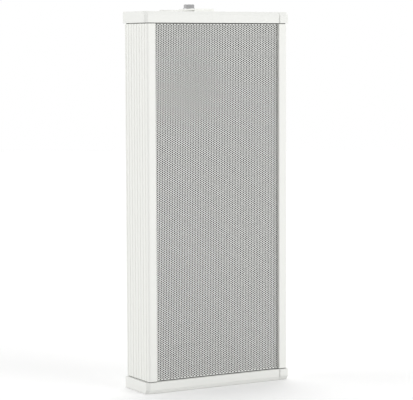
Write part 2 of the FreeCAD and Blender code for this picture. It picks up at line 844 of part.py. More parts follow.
def inner_leads():
    """Leads from the terminals to the transformer, on to the crossover and out to every unit."""
    board_low = tweeter_z - board_height / 2
    board_high = tweeter_z + board_height / 2
    board_right = board_x + board_width / 2
    mid_y = board_y + board_thickness / 2
    winding_low = tweeter_z - winding_length / 2
    winding_left = transformer_x - core_width / 2 + core_limb + winding_slack
    feed_y = inner_back - core_rise / 2
    terminal_top = terminal_z + terminal_height
    seat_r = (shelf_radius + floor_radius + basket_step) / 2 + 0.8 * basket_sheet
    seat_y = baffle_y + shelf_depth + basket_sheet
    magnet_y = inner_back - 3
    x = transformer_x
    cup_back = baffle_y + tweeter_face + tweeter_magnet_length
    cup_x = -tweeter_magnet_radius / 2
    cup_z = tweeter_z - 6
    high = tweeter_z + core_stack / 2 + 4
    stub = 9.0
    routes = [
        [V(x, feed_y, terminal_top), V(x, feed_y, terminal_top + stub),
         V(x + 4, feed_y + 3, terminal_top + 4 * stub), V(x + 5, feed_y + 3, winding_low - 4 * stub),
         V(x, feed_y, winding_low - stub), V(x, feed_y, winding_low)],
        [V(winding_left, feed_y, high), V(winding_left - stub, feed_y, high),
         V(board_right + 2 * stub, mid_y, tweeter_z + 3), V(board_right + stub, mid_y, tweeter_z),
         V(board_right, mid_y, tweeter_z)],
        [V(board_right, mid_y, board_low + 8), V(board_right + stub, mid_y, board_low + 8),
         V(cup_x - 4, cup_back + 2 * stub, cup_z - 4), V(cup_x, cup_back + stub, cup_z),
         V(cup_x, cup_back, cup_z)],
    ]
    seat = seat_r / math.sqrt(2)
    for i, z in enumerate(driver_heights):
        up = 1 if z > tweeter_z else -1
        edge_z = board_high if up > 0 else board_low
        start_x = board_right - lead_inset - lead_pitch * i
        end_z = z - up * seat
        routes.append([V(start_x, mid_y, edge_z), V(start_x, mid_y, edge_z + up * 18),
                       V(start_x + 2, magnet_y, end_z - up * 12), V(-seat - 4, magnet_y - 12, end_z - up * 4),
                       V(-seat, seat_y + 8, end_z), V(-seat, seat_y, end_z)])
    return Part.makeCompound([lead(route) for route in routes])


# ---- brackets ----
def arm_screw_places():
    """Along the top arm, from its front end."""
    first = front_y + arm_front + arm_screw_first
    return [first, first + arm_screw_gap]


def ear_screw_heights():
    first = ear_z + ear_drop - arm_screw_first
    return [first, first - ear_screw_pitches * arm_screw_gap]


def strap(y_front, z, thickness):
    """Flat strap with a round end about the pivot and a hole for the pivot bolt."""
    half = arm_width / 2
    flat = box(-half, half, y_front, pivot_y, z, z + thickness)
    end = rod(half, V(0, pivot_y, z), UP, thickness)
    hole = rod(bolt_radius + running_gap, V(0, pivot_y, z), UP, thickness)
    return fuse([flat, end]).cut(hole)


def top_arm():
    half = arm_width / 2
    y0 = front_y + arm_front
    parts = [strap(y0, arm_z, arm_thickness),
             box(-half, half, y0, y0 + arm_thickness, height, arm_z)]
    cuts = []
    for y in arm_screw_places():
        parts.append(rod(dimple_radius, V(0, y, height), UP, arm_lift))
        cuts.append(rod(arm_screw_radius + fit_gap, V(0, y, height), UP, arm_lift + arm_thickness))
        cuts.append(countersink(arm_screw_radius, arm_screw_head_radius, arm_screw_head_height,
                                V(0, y, arm_top)))
    return fuse(parts).cut(Part.makeCompound(cuts))


def bottom_arm():
    half = arm_width / 2
    flange = box(-half, half, back_y, back_y + arm_thickness, ear_z, ear_z + ear_drop)
    cuts = []
    for z in ear_screw_heights():
        cuts.append(rod(arm_screw_radius + fit_gap, V(0, back_y, z), BACK, arm_thickness))
        sink = countersink(arm_screw_radius, arm_screw_head_radius, arm_screw_head_height, V(0, 0, 0))
        sink.Placement = FreeCAD.Placement(V(0, back_y + arm_thickness, z), FreeCAD.Rotation(UP, BACK))
        cuts.append(sink)
    return fuse([strap(back_y, ear_z, arm_thickness), flange]).cut(Part.makeCompound(cuts))


def arm_screw():
    """Countersunk screw, flat top at z 0, pointing down."""
    shank = rod(arm_screw_radius, V(0, 0, -arm_screw_length), UP, arm_screw_length)
    head = countersink(arm_screw_radius - fit_gap, arm_screw_head_radius - fit_gap,
                       arm_screw_head_height, V(0, 0, 0))
    return fuse([shank, head])


def arm_screws():
    screws = []
    for y in arm_screw_places():
        screw = arm_screw()
        screw.translate(V(0, y, arm_top))
        screws.append(screw)
    for z in ear_screw_heights():
        screw = arm_screw()
        screw.Placement = FreeCAD.Placement(V(0, back_y + arm_thickness, z), FreeCAD.Rotation(UP, BACK))
        screws.append(screw)
    return Part.makeCompound(screws)


def nut_plates():
    """Tapped steel plates inside the top cap and behind the back panel."""
    half = nut_plate_width / 2
    r = arm_screw_radius + fit_gap
    ys = arm_screw_places()
    z = height - cap_skin - nut_plate_thickness
    top = box(-half, half, ys[0] - nut_plate_edge, ys[1] + nut_plate_back_edge, z, z + nut_plate_thickness)
    top = top.cut(Part.makeCompound([rod(r, V(0, y, z), UP, nut_plate_thickness) for y in ys]))
    zs = sorted(ear_screw_heights())
    y = inner_back - nut_plate_thickness
    low = box(-half, half, y, inner_back, zs[0] - nut_plate_edge, zs[1] + nut_plate_edge)
    low = low.cut(Part.makeCompound([rod(r, V(0, y, sz), BACK, nut_plate_thickness) for sz in zs]))
    return Part.makeCompound([top, low])


def pivot_washer(z, thickness, radius):
    return tube(radius, bolt_radius + running_gap, V(0, pivot_y, z), UP, thickness)


def tongue_z(arm_bottom):
    return arm_bottom - nylon_thickness - tongue_thickness


def pivot_stack(make):
    """The same fastener at both pivots, from the height of the arm's underside."""
    return Part.makeCompound([solid for z in (arm_z, ear_z) for solid in make(z)])


def pivot_bolts():
    def bolt(z):
        head = z + arm_thickness + washer_thickness
        shank = rod(bolt_radius, V(0, pivot_y, head - bolt_length), UP, bolt_length)
        return [fuse([shank, hexagon(bolt_hex, V(0, pivot_y, head), UP, bolt_head)])]
    return pivot_stack(bolt)


def pivot_washers():
    def washers(z):
        low = tongue_z(z) - washer_thickness
        return [pivot_washer(z + arm_thickness, washer_thickness, washer_radius),
                pivot_washer(low, washer_thickness, washer_radius)]
    return pivot_stack(washers)


def pivot_spacers():
    def spacer(z):
        return [pivot_washer(z - nylon_thickness, nylon_thickness, arm_width / 2 - nylon_inset)]
    return pivot_stack(spacer)


def pivot_nuts():
    def nut(z):
        low = tongue_z(z) - washer_thickness - nut_height
        start = V(0, pivot_y, low)
        hole = rod(bolt_radius + fit_gap, start, UP, nut_height)
        return [hexagon(bolt_hex, start, UP, nut_height).cut(hole)]
    return pivot_stack(nut)


def wall_bracket(tongue_low, plate_low):
    """Rounded wall plate with a tongue that swivels on the pivot bolt."""
    half = arm_width / 2
    tongue = box(-half, half, pivot_y, wall_y - plate_thickness, tongue_low, tongue_low + tongue_thickness)
    end = rod(half, V(0, pivot_y, tongue_low), UP, tongue_thickness)
    w = plate_width / 2
    plate = box(-w, w, wall_y - plate_thickness, wall_y, plate_low, plate_low + plate_height)
    upright = [e for e in plate.Edges if abs(e.tangentAt(e.FirstParameter).y) > 0.99]
    plate = plate.makeFillet(plate_corner, upright)
    hole = rod(bolt_radius + running_gap, V(0, pivot_y, tongue_low), UP, tongue_thickness)
    return fuse([tongue, end, plate]).cut(hole)


def wall_holes(z_outer, inward):
    """Two rows of two holes; z_outer is the plate's edge away from the tongue."""
    x = plate_width / 2 - wall_hole_side
    cuts = []
    for row in (0, wall_hole_rows):
        z = z_outer + inward * (wall_hole_edge + row)
        for side in (-1, 1):
            start = V(side * x, wall_y - plate_thickness, z)
            cuts.append(rod(wall_hole_radius, start, BACK, plate_thickness))
    return Part.makeCompound(cuts)


def top_wall_bracket():
    low = tongue_z(arm_z)
    plate_low = low + tongue_thickness + plate_beyond - plate_height
    return wall_bracket(low, plate_low).cut(wall_holes(plate_low, 1))


def bottom_wall_bracket():
    low = tongue_z(ear_z)
    plate_low = low - plate_beyond
    return wall_bracket(low, plate_low).cut(wall_holes(plate_low + plate_height, -1))


def nodes():
    made = {
        "cabinet_extrusion": extrusion(),
        "top_cap": top_cap(),
        "bottom_cap": cap_at_bottom(cap()),
        "top_gasket": gasket_frame(body_high),
        "bottom_gasket": gasket_frame(cap_height),
        "cap_screws": cap_screws(),
        "grille": grille(),
        "grille_cloth": grille_cloth(),
        "baffle": baffle(),
        "driver_screws": driver_screws(),
        "tweeter_faceplate": tweeter_faceplate(),
        "tweeter_magnet": tweeter_magnet(),
        "tweeter_dome": tweeter_dome(),
        "transformer_core": transformer_core(),
        "transformer_winding": transformer_winding(),
        "transformer_clamp": transformer_clamp(),
        "crossover_board": crossover_board(),
        "board_standoffs": board_standoffs(),
        "crossover_capacitor": crossover_capacitor(),
        "crossover_inductor": crossover_inductor(),
        "terminal_block": terminal_block(),
        "inner_screws": inner_screws(),
        "inner_leads": inner_leads(),
        "cable_gland": cable_gland(),
        "gland_cap": gland_cap(),
        "gland_locknut": gland_locknut(),
        "top_arm": top_arm(),
        "bottom_arm": bottom_arm(),
        "arm_screws": arm_screws(),
        "nut_plates": nut_plates(),
        "pivot_bolts": pivot_bolts(),
        "pivot_washers": pivot_washers(),
        "pivot_spacers": pivot_spacers(),
        "pivot_nuts": pivot_nuts(),
        "top_wall_bracket": top_wall_bracket(),
        "bottom_wall_bracket": bottom_wall_bracket(),
    }
    pieces = {"basket": basket, "top_plate": top_plate, "magnet": magnet, "yoke": yoke,
              "voice_coil": voice_coil, "cone": cone, "surround": surround, "spider": spider}
    for number, z in enumerate(driver_heights, 1):
        for name, make in pieces.items():
            made["woofer_%d_%s" % (number, name)] = make(z)
    return made


os.makedirs("parts", exist_ok=True)
for node, shape in nodes().items():
    for solid in shape.Solids:
        assert solid.isValid(), node
    shape.exportStep("parts/%s.step" % node)
    print(node, len(shape.Solids), "%.1f" % shape.Volume)
print("driver heights", [round(z, 2) for z in all_heights], "gap", round(unit_gap, 2))
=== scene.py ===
import json
import math

import bmesh
import bpy
from mathutils import Matrix, Vector


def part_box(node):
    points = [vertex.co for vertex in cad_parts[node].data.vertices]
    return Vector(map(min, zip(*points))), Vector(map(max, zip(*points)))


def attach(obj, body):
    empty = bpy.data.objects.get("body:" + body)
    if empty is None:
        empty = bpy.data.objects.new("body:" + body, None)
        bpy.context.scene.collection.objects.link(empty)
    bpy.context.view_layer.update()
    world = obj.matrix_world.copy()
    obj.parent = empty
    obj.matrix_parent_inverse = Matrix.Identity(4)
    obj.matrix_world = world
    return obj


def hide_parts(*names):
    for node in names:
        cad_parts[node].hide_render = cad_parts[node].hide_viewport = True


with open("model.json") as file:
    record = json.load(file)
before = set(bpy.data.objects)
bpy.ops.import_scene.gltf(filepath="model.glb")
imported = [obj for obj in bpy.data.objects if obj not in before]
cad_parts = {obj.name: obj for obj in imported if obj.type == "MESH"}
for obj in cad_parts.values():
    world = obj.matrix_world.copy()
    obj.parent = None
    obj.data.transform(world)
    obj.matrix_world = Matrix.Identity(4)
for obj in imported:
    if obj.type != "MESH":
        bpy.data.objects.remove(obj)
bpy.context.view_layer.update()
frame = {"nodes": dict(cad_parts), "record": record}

bl_info = {
    "name": "Column loudspeaker",
    "version": (1, 0, 0),
    "blender": (4, 5, 0),
    "location": "View3D > Sidebar > Loudspeaker",
    "description": "Builds a slim wall-mounted column loudspeaker, its swivel brackets and a plain studio",
    "category": "Object",
}

MM = 0.001
ORIGIN = Vector((0, 0, 0))
RIGHT = Vector((1, 0, 0))
BACK = Vector((0, 1, 0))
UP = Vector((0, 0, 1))

# ---- sizes that several pieces share ----
WALL = 2.5 * MM              # of the extruded body
SLIP = 0.3 * MM              # clearance of pieces that slide into each other
HALF_MOUTH = 99.5 * MM       # half the width of the front's set-back middle
STRAP = 2.5 * MM             # thickness of the strap and of the ear
TONGUE = 3.0 * MM            # thickness of the wall brackets
WASHER = 1.6 * MM            # thickness of the steel washers
NYLON = 1.5 * MM             # thickness of the nylon washers
NUT = 6.5 * MM               # height of the pivot bolts' nuts
FLATS = 13.0 * MM            # across the flats of the pivot bolts' heads and nuts
PIVOT_RADIUS = 4.06 * MM     # of the holes that the pivot bolts pass
SCREW_PASS = 2.55 * MM       # radius of the holes for the strap's and the ear's screws
GLAND_FLATS = 19.0 * MM      # across the flats of the cable gland
CABLE_RADIUS = 4.0 * MM      # of the gland's bore
OVERCUT = 1.0 * MM           # how far a cutter stands out past the surface that it opens


# ---- the frame's own places ----
def low(node):
    return Vector(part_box(node)[0])


def high(node):
    return Vector(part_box(node)[1])


# ---- sizes and colours that a user may change ----
class SpeakerSizes(bpy.types.PropertyGroup):
    hole_radius: bpy.props.FloatProperty(
        name="Hole radius", description="Radius of one hole in the front sheet",
        default=1.19 * MM, min=0.4 * MM, max=1.3 * MM, unit="LENGTH", precision=5)
    hole_pitch: bpy.props.FloatProperty(
        name="Hole pitch", description="Distance between neighbouring holes in the front sheet",
        default=3.0 * MM, min=2.8 * MM, max=6 * MM, unit="LENGTH", precision=5)
    hole_corners: bpy.props.IntProperty(
        name="Hole corners", description="Corners of each hole's outline", default=10, min=6, max=12)
    grille_panels: bpy.props.IntProperty(
        name="Sheet parts", description="Parts that the front sheet is split into, side by side",
        default=4, min=4, max=8)
    flutes: bpy.props.IntProperty(
        name="Flutes", description="Shallow grooves down each side of the body", default=8, min=0, max=16)
    flute_land: bpy.props.FloatProperty(
        name="Flute land", description="Flat left between two grooves", default=5.8 * MM, unit="LENGTH")
    flute_depth: bpy.props.FloatProperty(
        name="Flute depth", description="Depth of a groove at its middle", default=0.8 * MM, unit="LENGTH")
    thread_pitch: bpy.props.FloatProperty(
        name="Thread pitch", description="Pitch of the pivot bolts' thread", default=1.25 * MM,
        unit="LENGTH")
    soft_edge: bpy.props.FloatProperty(
        name="Soft edge", description="Width of the rounding on painted steel edges", default=0.35 * MM,
        unit="LENGTH")


class SpeakerColours(bpy.types.PropertyGroup):
    coat: bpy.props.FloatVectorProperty(
        name="Body coat", description="Powder coat of the extruded body and the brackets",
        default=(0.86, 0.865, 0.83), subtype="COLOR", min=0, max=1)
    cap: bpy.props.FloatVectorProperty(
        name="End caps", description="Moulded end caps", default=(0.85, 0.855, 0.825), subtype="COLOR",
        min=0, max=1)
    sheet: bpy.props.FloatVectorProperty(
        name="Front sheet", description="Powder coat of the perforated sheet",
        default=(0.83, 0.835, 0.81), subtype="COLOR", min=0, max=1)
    foam: bpy.props.FloatVectorProperty(
        name="Foam", description="Closed-cell foam gaskets", default=(0.12, 0.12, 0.12), subtype="COLOR",
        min=0, max=1)
    cloth: bpy.props.FloatVectorProperty(
        name="Cloth", description="Acoustic cloth behind the sheet", default=(0.012, 0.012, 0.013),
        subtype="COLOR", min=0, max=1)
    zinc: bpy.props.FloatVectorProperty(
        name="Zinc", description="Zinc plating of bolts and screws", default=(0.42, 0.42, 0.425),
        subtype="COLOR", min=0, max=1)


def sizes():
    return bpy.context.scene.speaker_sizes


def colours():
    return bpy.context.scene.speaker_colours


# ---- materials ----
class Finish:
    """A material with one shader, and helpers that add its texture nodes."""

    def __init__(self, name, colour, rough, metal=0.0, level=0.5):
        self.material = bpy.data.materials.new(name)
        self.material.use_nodes = True
        self.tree = self.material.node_tree
        self.shader = self.tree.nodes["Principled BSDF"]
        self.colour = tuple(colour) + (1.0,)
        self.rough = rough
        self.shader.inputs["Base Color"].default_value = self.colour
        self.shader.inputs["Roughness"].default_value = rough
        self.shader.inputs["Metallic"].default_value = metal
        self.shader.inputs["Specular IOR Level"].default_value = level
        self.where = self.add("ShaderNodeTexCoord").outputs["Object"]
        self.height = None

    def add(self, kind, links=None, **settings):
        node = self.tree.nodes.new(kind)
        for key, value in settings.items():
            setattr(node, key, value)
        for key, value in (links or {}).items():
            if isinstance(value, bpy.types.NodeSocket):
                self.tree.links.new(value, node.inputs[key])
            else:
                node.inputs[key].default_value = value
        return node

    def stretched(self, scale):
        return self.add("ShaderNodeMapping", {"Vector": self.where, "Scale": scale}).outputs["Vector"]

    def noise(self, scale, detail=2.0, stretch=(1, 1, 1)):
        return self.add("ShaderNodeTexNoise", {"Vector": self.stretched(stretch), "Scale": scale,
                                               "Detail": detail}).outputs["Fac"]

    def cells(self, scale, stretch=(1, 1, 1), feature="F1"):
        node = self.add("ShaderNodeTexVoronoi", {"Vector": self.stretched(stretch), "Scale": scale},
                        feature=feature)
        return node.outputs["Distance"]

    def bands(self, scale, direction, distortion=0.0, profile="SIN"):
        node = self.add("ShaderNodeTexWave", {"Vector": self.where, "Scale": scale,
                                              "Distortion": distortion, "Detail": 2.0,
                                              "Detail Scale": 3.0},
                        wave_type="BANDS", bands_direction=direction, wave_profile=profile)
        return node.outputs["Fac"]

    def math(self, operation, a, b):
        return self.add("ShaderNodeMath", {0: a, 1: b}, operation=operation).outputs[0]

    def span(self, value, start, end):
        node = self.add("ShaderNodeMapRange", {"Value": value, "To Min": start, "To Max": end})
        return node.outputs["Result"]

    def tint(self, mask, other):
        """Colour goes from the base to another as the mask goes from 0 to 1."""
        source = self.shader.inputs["Base Color"]
        first = source.links[0].from_socket if source.is_linked else self.colour
        mix = self.add("ShaderNodeMix", {"Factor": mask}, data_type="RGBA")
        for key, value in (("A_Color", first), ("B_Color", tuple(other) + (1.0,))):
            socket = next(s for s in mix.inputs if s.identifier == key)
            if isinstance(value, bpy.types.NodeSocket):
                self.tree.links.new(value, socket)
            else:
                socket.default_value = value
        result = next(s for s in mix.outputs if s.identifier == "Result_Color")
        self.tree.links.new(result, source)

    def polish(self, mask, start, end):
        """Roughness runs between two values with the mask."""
        self.tree.links.new(self.span(mask, start, end), self.shader.inputs["Roughness"])

    def bump(self, mask, depth, strength=1.0):
        """Relief of the given depth in metres, on top of any added before."""
        links = {"Height": mask, "Distance": depth, "Strength": strength}
        if self.height:
            links["Normal"] = self.height
        self.height = self.add("ShaderNodeBump", links).outputs["Normal"]
        self.tree.links.new(self.height, self.shader.inputs["Normal"])


def shaded(colour, share):
    """Darker below a share of 1, lighter above it."""
    return tuple(c * share for c in colour)


def powder_coat(name, colour, rough=0.42):
    """Sprayed powder: orange peel, tiny nibs and a faint change of shade."""
    f = Finish(name, colour, rough, level=0.4)
    f.tint(f.span(f.noise(9, 3), 0.0, 0.5), shaded(colour, 0.985))
    f.polish(f.noise(60, 3), rough - 0.05, rough + 0.08)
    f.bump(f.noise(700, 2), 0.02 * MM, 0.5)
    f.bump(f.cells(2600), 0.006 * MM, 0.4)
    return f.material


def moulded(name, colour, rough=0.45, grain=2200, depth=0.012, level=0.4):
    """Injection moulding: fine spark-eroded grain and slight flow marks."""
    f = Finish(name, colour, rough, level=level)
    f.tint(f.span(f.noise(14, 4, (1, 1, 3)), 0.0, 0.5), shaded(colour, 0.975))
    f.polish(f.noise(120, 2), rough - 0.06, rough + 0.08)
    f.bump(f.cells(grain), depth * MM, 0.6)
    return f.material


def plated(name, colour, rough=0.3):
    """Zinc plating: bright metal, cloudy from the bath, with fine drawn marks."""
    f = Finish(name, colour, rough, metal=1.0)
    f.tint(f.span(f.noise(260, 4), 0.0, 0.8), shaded(colour, 0.8))
    f.polish(f.noise(500, 3), rough - 0.08, rough + 0.14)
    f.bump(f.noise(1800, 3, (1, 1, 0.2)), 0.004 * MM, 0.6)
    return f.material


def foam_rubber(name, colour):
    f = Finish(name, colour, 0.92, level=0.2)
    pores = f.cells(1900)
    # painted shade: each pore's hollow is darker than the rim round it, following the pore relief
    f.tint(f.span(pores, 0.0, 1.0), tuple(c + 0.03 for c in colour))
    f.bump(pores, 0.12 * MM, 0.8)
    return f.material


def woven(name, colour, threads=1300, depth=0.08, sheen=0.3):
    """Plain weave: crossing threads, one over one under, with a little slub; the threads carry a painted
    highlight where they stand highest and painted shade in the gaps between them.
    """
    f = Finish(name, colour, 0.88, level=0.2)
    f.shader.inputs["Sheen Weight"].default_value = sheen
    across = f.bands(threads, "X", 0.4)
    along = f.bands(threads, "Z", 0.4)
    weave = f.math("MAXIMUM", across, along)
    # painted highlight and shade: threads lighter where the weave stands highest, darker in the gaps
    # between them
    f.tint(f.span(weave, 0.0, 0.8), shaded(colour, 1.9))
    f.tint(f.span(f.noise(300, 3), 0.0, 0.3), shaded(colour, 0.5))
    f.bump(weave, depth * MM, 0.8)
    return f.material


def fibre_board(name, colour):
    f = Finish(name, colour, 0.8, level=0.25)
    f.tint(f.noise(420, 6, (1, 1, 0.35)), shaded(colour, 0.62))
    f.tint(f.span(f.cells(900), 0.0, 0.25), (0.62, 0.5, 0.34))
    f.bump(f.noise(1500, 4), 0.05 * MM, 0.5)
    return f.material


def sintered(name, colour):
    f = Finish(name, colour, 0.55, level=0.5)
    f.tint(f.noise(180, 5), shaded(colour, 1.7))
    f.polish(f.noise(70, 2), 0.4, 0.75)
    f.bump(f.noise(900, 5), 0.05 * MM, 0.6)
    return f.material


def wound_copper(name, colour, turns=1500):
    """Side by side turns of enamelled wire, with painted shade in the grooves between the turns."""
    f = Finish(name, colour, 0.28, metal=0.85)
    wire = f.bands(turns, "Z", 0.15)
    # painted shade: the wire is darkened where its relief sinks into the grooves between turns
    f.tint(f.span(wire, 0.55, 0.0), shaded(colour, 0.35))
    f.tint(f.span(f.noise(200, 2), 0.0, 0.3), (0.45, 0.12, 0.04))
    f.bump(wire, 0.12 * MM, 0.9)
    return f.material


def pressed_paper(name, colour):
    f = Finish(name, colour, 0.85, level=0.25)
    fibres = f.noise(1100, 6, (1, 0.6, 1))
    f.tint(fibres, shaded(colour, 2.2))
    f.bump(fibres, 0.09 * MM, 0.7)
    return f.material


def laminated(name, colour):
    """Edges of stacked sheets under varnish."""
    f = Finish(name, colour, 0.4, metal=0.6)
    sheets = f.bands(1000, "Z", 0.2, "SAW")
    f.tint(f.span(sheets, 0.0, 0.7), shaded(colour, 0.4))
    f.tint(f.span(f.noise(90, 4), 0.0, 0.35), (0.2, 0.1, 0.04))
    f.bump(sheets, 0.05 * MM, 0.8)
    return f.material


def circuit_board(name, colour):
    """Solder mask over glass cloth, with paler copper tracks."""
    f = Finish(name, colour, 0.3, level=0.5)
    tracks = f.cells(130, (1, 1, 1), "DISTANCE_TO_EDGE")
    edge = f.math("LESS_THAN", tracks, 0.05)
    f.tint(edge, (0.12, 0.38, 0.14))
    f.bump(edge, 0.035 * MM, 0.6)
    f.bump(f.math("MAXIMUM", f.bands(900, "X"), f.bands(900, "Z")), 0.01 * MM, 0.5)
    return f.material


def make_finishes():
    """One material for each slot of the record."""
    c = colours()
    return {
        "white_extrusion": powder_coat("body powder coat", c.coat),
        "white_cap": moulded("end cap moulding", c.cap),
        "white_steel": powder_coat("bracket powder coat", c.coat, 0.36),
        "foam": foam_rubber("gasket foam", c.foam),
        "grille_paint": powder_coat("front sheet powder coat", c.sheet, 0.5),
        "black_cloth": woven("acoustic cloth", c.cloth),
        "zinc": plated("zinc plate", c.zinc),
        "board_wood": fibre_board("fibre board", (0.42, 0.31, 0.19)),
        "steel_frame": powder_coat("black basket paint", (0.02, 0.02, 0.02), 0.4),
        "plain_steel": plated("plain plated steel", (0.5, 0.5, 0.51), 0.4),
        "ferrite": sintered("ferrite", (0.035, 0.035, 0.038)),
        "copper_coil": wound_copper("enamelled winding", (0.62, 0.26, 0.12)),
        "paper": pressed_paper("cone paper", (0.03, 0.03, 0.032)),
        "surround_foam": foam_rubber("surround foam", (0.015, 0.015, 0.016)),
        "spider_cloth": woven("spider cloth", (0.42, 0.24, 0.06), 900, 0.15, 0.1),
        "black_plastic": moulded("black moulding", (0.02, 0.02, 0.021)),
        "silk": woven("coated silk", (0.02, 0.02, 0.022), 2200, 0.03, 0.2),
        "laminations": laminated("core laminations", (0.23, 0.23, 0.24)),
        "board_green": circuit_board("circuit board", (0.015, 0.12, 0.035)),
        "grey_plastic": moulded("grey nylon moulding", (0.13, 0.135, 0.14), 0.4, 1600, 0.02),
        "white_plastic": moulded("white moulding", (0.72, 0.72, 0.69), 0.35),
        "nylon": moulded("natural nylon", (0.74, 0.73, 0.66), 0.3, 1400, 0.008, 0.5),
        "lead_red": moulded("lead insulation", (0.32, 0.015, 0.012), 0.35, 3000, 0.01, 0.5),
    }


def slot_of(node):
    return next(s["material_slot"] for s in frame["record"]["subparts"] if s["node"] == node)


# ---- mesh helpers ----
def new_object(name, mesh):
    obj = bpy.data.objects.new(name, mesh)
    bpy.context.scene.collection.objects.link(obj)
    return obj


def from_bmesh(name, bm):
    bmesh.ops.recalc_face_normals(bm, faces=bm.faces)
    mesh = bpy.data.meshes.new(name)
    bm.to_mesh(mesh)
    bm.free()
    return new_object(name, mesh)


def baked(obj):
    """The object with its modifiers worked into a plain mesh."""
    bpy.context.view_layer.update()
    graph = bpy.context.evaluated_depsgraph_get()
    mesh = bpy.data.meshes.new_from_object(obj.evaluated_get(graph), depsgraph=graph)
    obj.modifiers.clear()
    obj.data = mesh
    mesh.name = obj.name
    return obj


def shade(obj, angle=32):
    """Smooth across gentle turns, flat on large faces and crisp at edges past the angle, in degrees."""
    bm = bmesh.new()
    bm.from_mesh(obj.data)
    for face in bm.faces:
        face.smooth = True
    for edge in bm.edges:
        edge.smooth = edge.calc_face_angle(math.pi) < math.radians(angle)
    bm.to_mesh(obj.data)
    bm.free()
    even = obj.modifiers.new("even", "WEIGHTED_NORMAL")
    even.keep_sharp = True
    return baked(obj)


def soften(obj, width, segments=3, angle=30):
    """Rounds every edge sharper than the angle."""
    bevel = obj.modifiers.new("round", "BEVEL")
    bevel.width = width
    bevel.segments = segments
    bevel.limit_method = "ANGLE"
    bevel.angle_limit = math.radians(angle)
    return baked(obj)


def joined(name, objects):
    """One object from several, with a common mesh."""
    bm = bmesh.new()
    for obj in objects:
        bm.from_mesh(obj.data)
        bpy.data.objects.remove(obj)
    mesh = bpy.data.meshes.new(name)
    bm.to_mesh(mesh)
    bm.free()
    return new_object(name, mesh)


def combine(obj, others, operation):
    """Cuts the others out of the object, or adds them to it."""
    tool = joined("tool", others)
    mod = obj.modifiers.new("combine", "BOOLEAN")
    mod.operation = operation
    mod.solver = "EXACT"
    mod.use_self = operation == "UNION"
    mod.object = tool
    baked(obj)
    bpy.data.objects.remove(tool)
    return obj


def carve(obj, cutters):
    return combine(obj, cutters, "DIFFERENCE")


def fused(obj, others):
    return combine(obj, others, "UNION")


def skin(name, rings):
    """Closed surface through rings of equal count, with an end face on the first and the last."""
    bm = bmesh.new()
    rows = [[bm.verts.new(p) for p in ring] for ring in rings]
    count = len(rows[0])
    for near, far in zip(rows, rows[1:]):
        for i in range(count):
            j = (i + 1) % count
            bm.faces.new((near[i], near[j], far[j], far[i]))
    for row in (rows[0], rows[-1]):
        bm.faces.new(row)
    return from_bmesh(name, bm)


def turned(profile, start, axis, name, count=48, wobble=None):
    """Solid of revolution from (radius, height) pairs along an axis; wobble changes a radius by angle."""
    turn = UP.rotation_difference(axis).to_matrix()
    rings = []
    for radius, height in profile:
        ring = []
        for i in range(count):
            a = 2 * math.pi * i / count
            r = wobble(radius, height, a) if wobble else radius
            ring.append(start + turn @ Vector((r * math.cos(a), r * math.sin(a), height)))
        rings.append(ring)
    return skin(name, rings)


def in_mm(pairs):
    """Pairs given in millimetres, in metres."""
    return [(a * MM, b * MM) for a, b in pairs]


def disc(radius, start, axis, length, count=48):
    return turned([(radius, 0), (radius, length)], start, axis, "disc", count)


def block(lowest, highest):
    lo, hi = Vector(lowest), Vector(highest)
    ring = [(lo.x, lo.y), (hi.x, lo.y), (hi.x, hi.y), (lo.x, hi.y)]
    return skin("block", [[Vector((x, y, z)) for x, y in ring] for z in (lo.z, hi.z)])


def arc(cx, cy, radius, start, end, steps):
    """Points of an arc, angles in degrees."""
    turn = [math.radians(start + (end - start) * i / steps) for i in range(steps + 1)]
    return [(cx + radius * math.cos(a), cy + radius * math.sin(a)) for a in turn]


def slab(name, outline, base, thickness, across, along, normal):
    """Plate on an outline of (u, v) pairs; across and along are u's and v's directions."""
    rings = [[base + across * u + along * v + normal * t for u, v in outline] for t in (0, thickness)]
    return skin(name, rings)


def rounded(half_x, half_y, radius, steps=6):
    """Rounded rectangle about the origin."""
    points = []
    for sx, sy, start in ((1, 1, 0), (-1, 1, 90), (-1, -1, 180), (1, -1, 270)):
        points += arc(sx * (half_x - radius), sy * (half_y - radius), radius, start, start + 90, steps)
    return points


def hexagon(flats, a):
    """Distance from a hexagon's middle to its side, at an angle."""
    sector = math.radians(60)
    off = (a + sector / 2) % sector - sector / 2
    return flats / 2 / math.cos(off)


# ---- node trees ----
class Recipe:
    """A geometry node tree with named inputs."""

    def __init__(self, name, inputs):
        self.group = bpy.data.node_groups.new(name, "GeometryNodeTree")
        face = self.group.interface
        face.new_socket(name="Geometry", in_out="INPUT", socket_type="NodeSocketGeometry")
        for label, kind in inputs.items():
            face.new_socket(name=label, in_out="INPUT", socket_type="NodeSocket" + kind)
        face.new_socket(name="Geometry", in_out="OUTPUT", socket_type="NodeSocketGeometry")
        self.given = self.group.nodes.new("NodeGroupInput").outputs
        self.result = self.group.nodes.new("NodeGroupOutput")

    def add(self, kind, links=None, **settings):
        node = self.group.nodes.new(kind)
        for key, value in settings.items():
            setattr(node, key, value)
        for key, value in (links or {}).items():
            values = value if isinstance(value, list) else [value]
            for one in values:
                if isinstance(one, bpy.types.NodeSocket):
                    self.group.links.new(one, node.inputs[key])
                else:
                    node.inputs[key].default_value = one
        return node.outputs[0]

    def math(self, operation, a, b=0.0):
        return self.add("ShaderNodeMath", {0: a, 1: b}, operation=operation)

    def vector(self, x=0.0, y=0.0, z=0.0):
        return self.add("ShaderNodeCombineXYZ", {"X": x, "Y": y, "Z": z})

    def finish(self, geometry, material):
        real = self.add("GeometryNodeRealizeInstances", {"Geometry": geometry})
        last = self.add("GeometryNodeSetMaterial", {"Geometry": real, "Material": material})
        self.group.links.new(last, self.result.inputs[0])

    def run(self, name, values, mesh=None):
        """Runs the tree on a mesh and returns the result as a plain object."""
        obj = new_object(name, mesh or bpy.data.meshes.new(name))
        mod = obj.modifiers.new(name, "NODES")
        mod.node_group = self.group
        for item in self.group.interface.items_tree:
            if item.in_out == "INPUT" and item.name in values:
                mod[item.identifier] = values[item.name]
        obj.update_tag()
        return baked(obj)


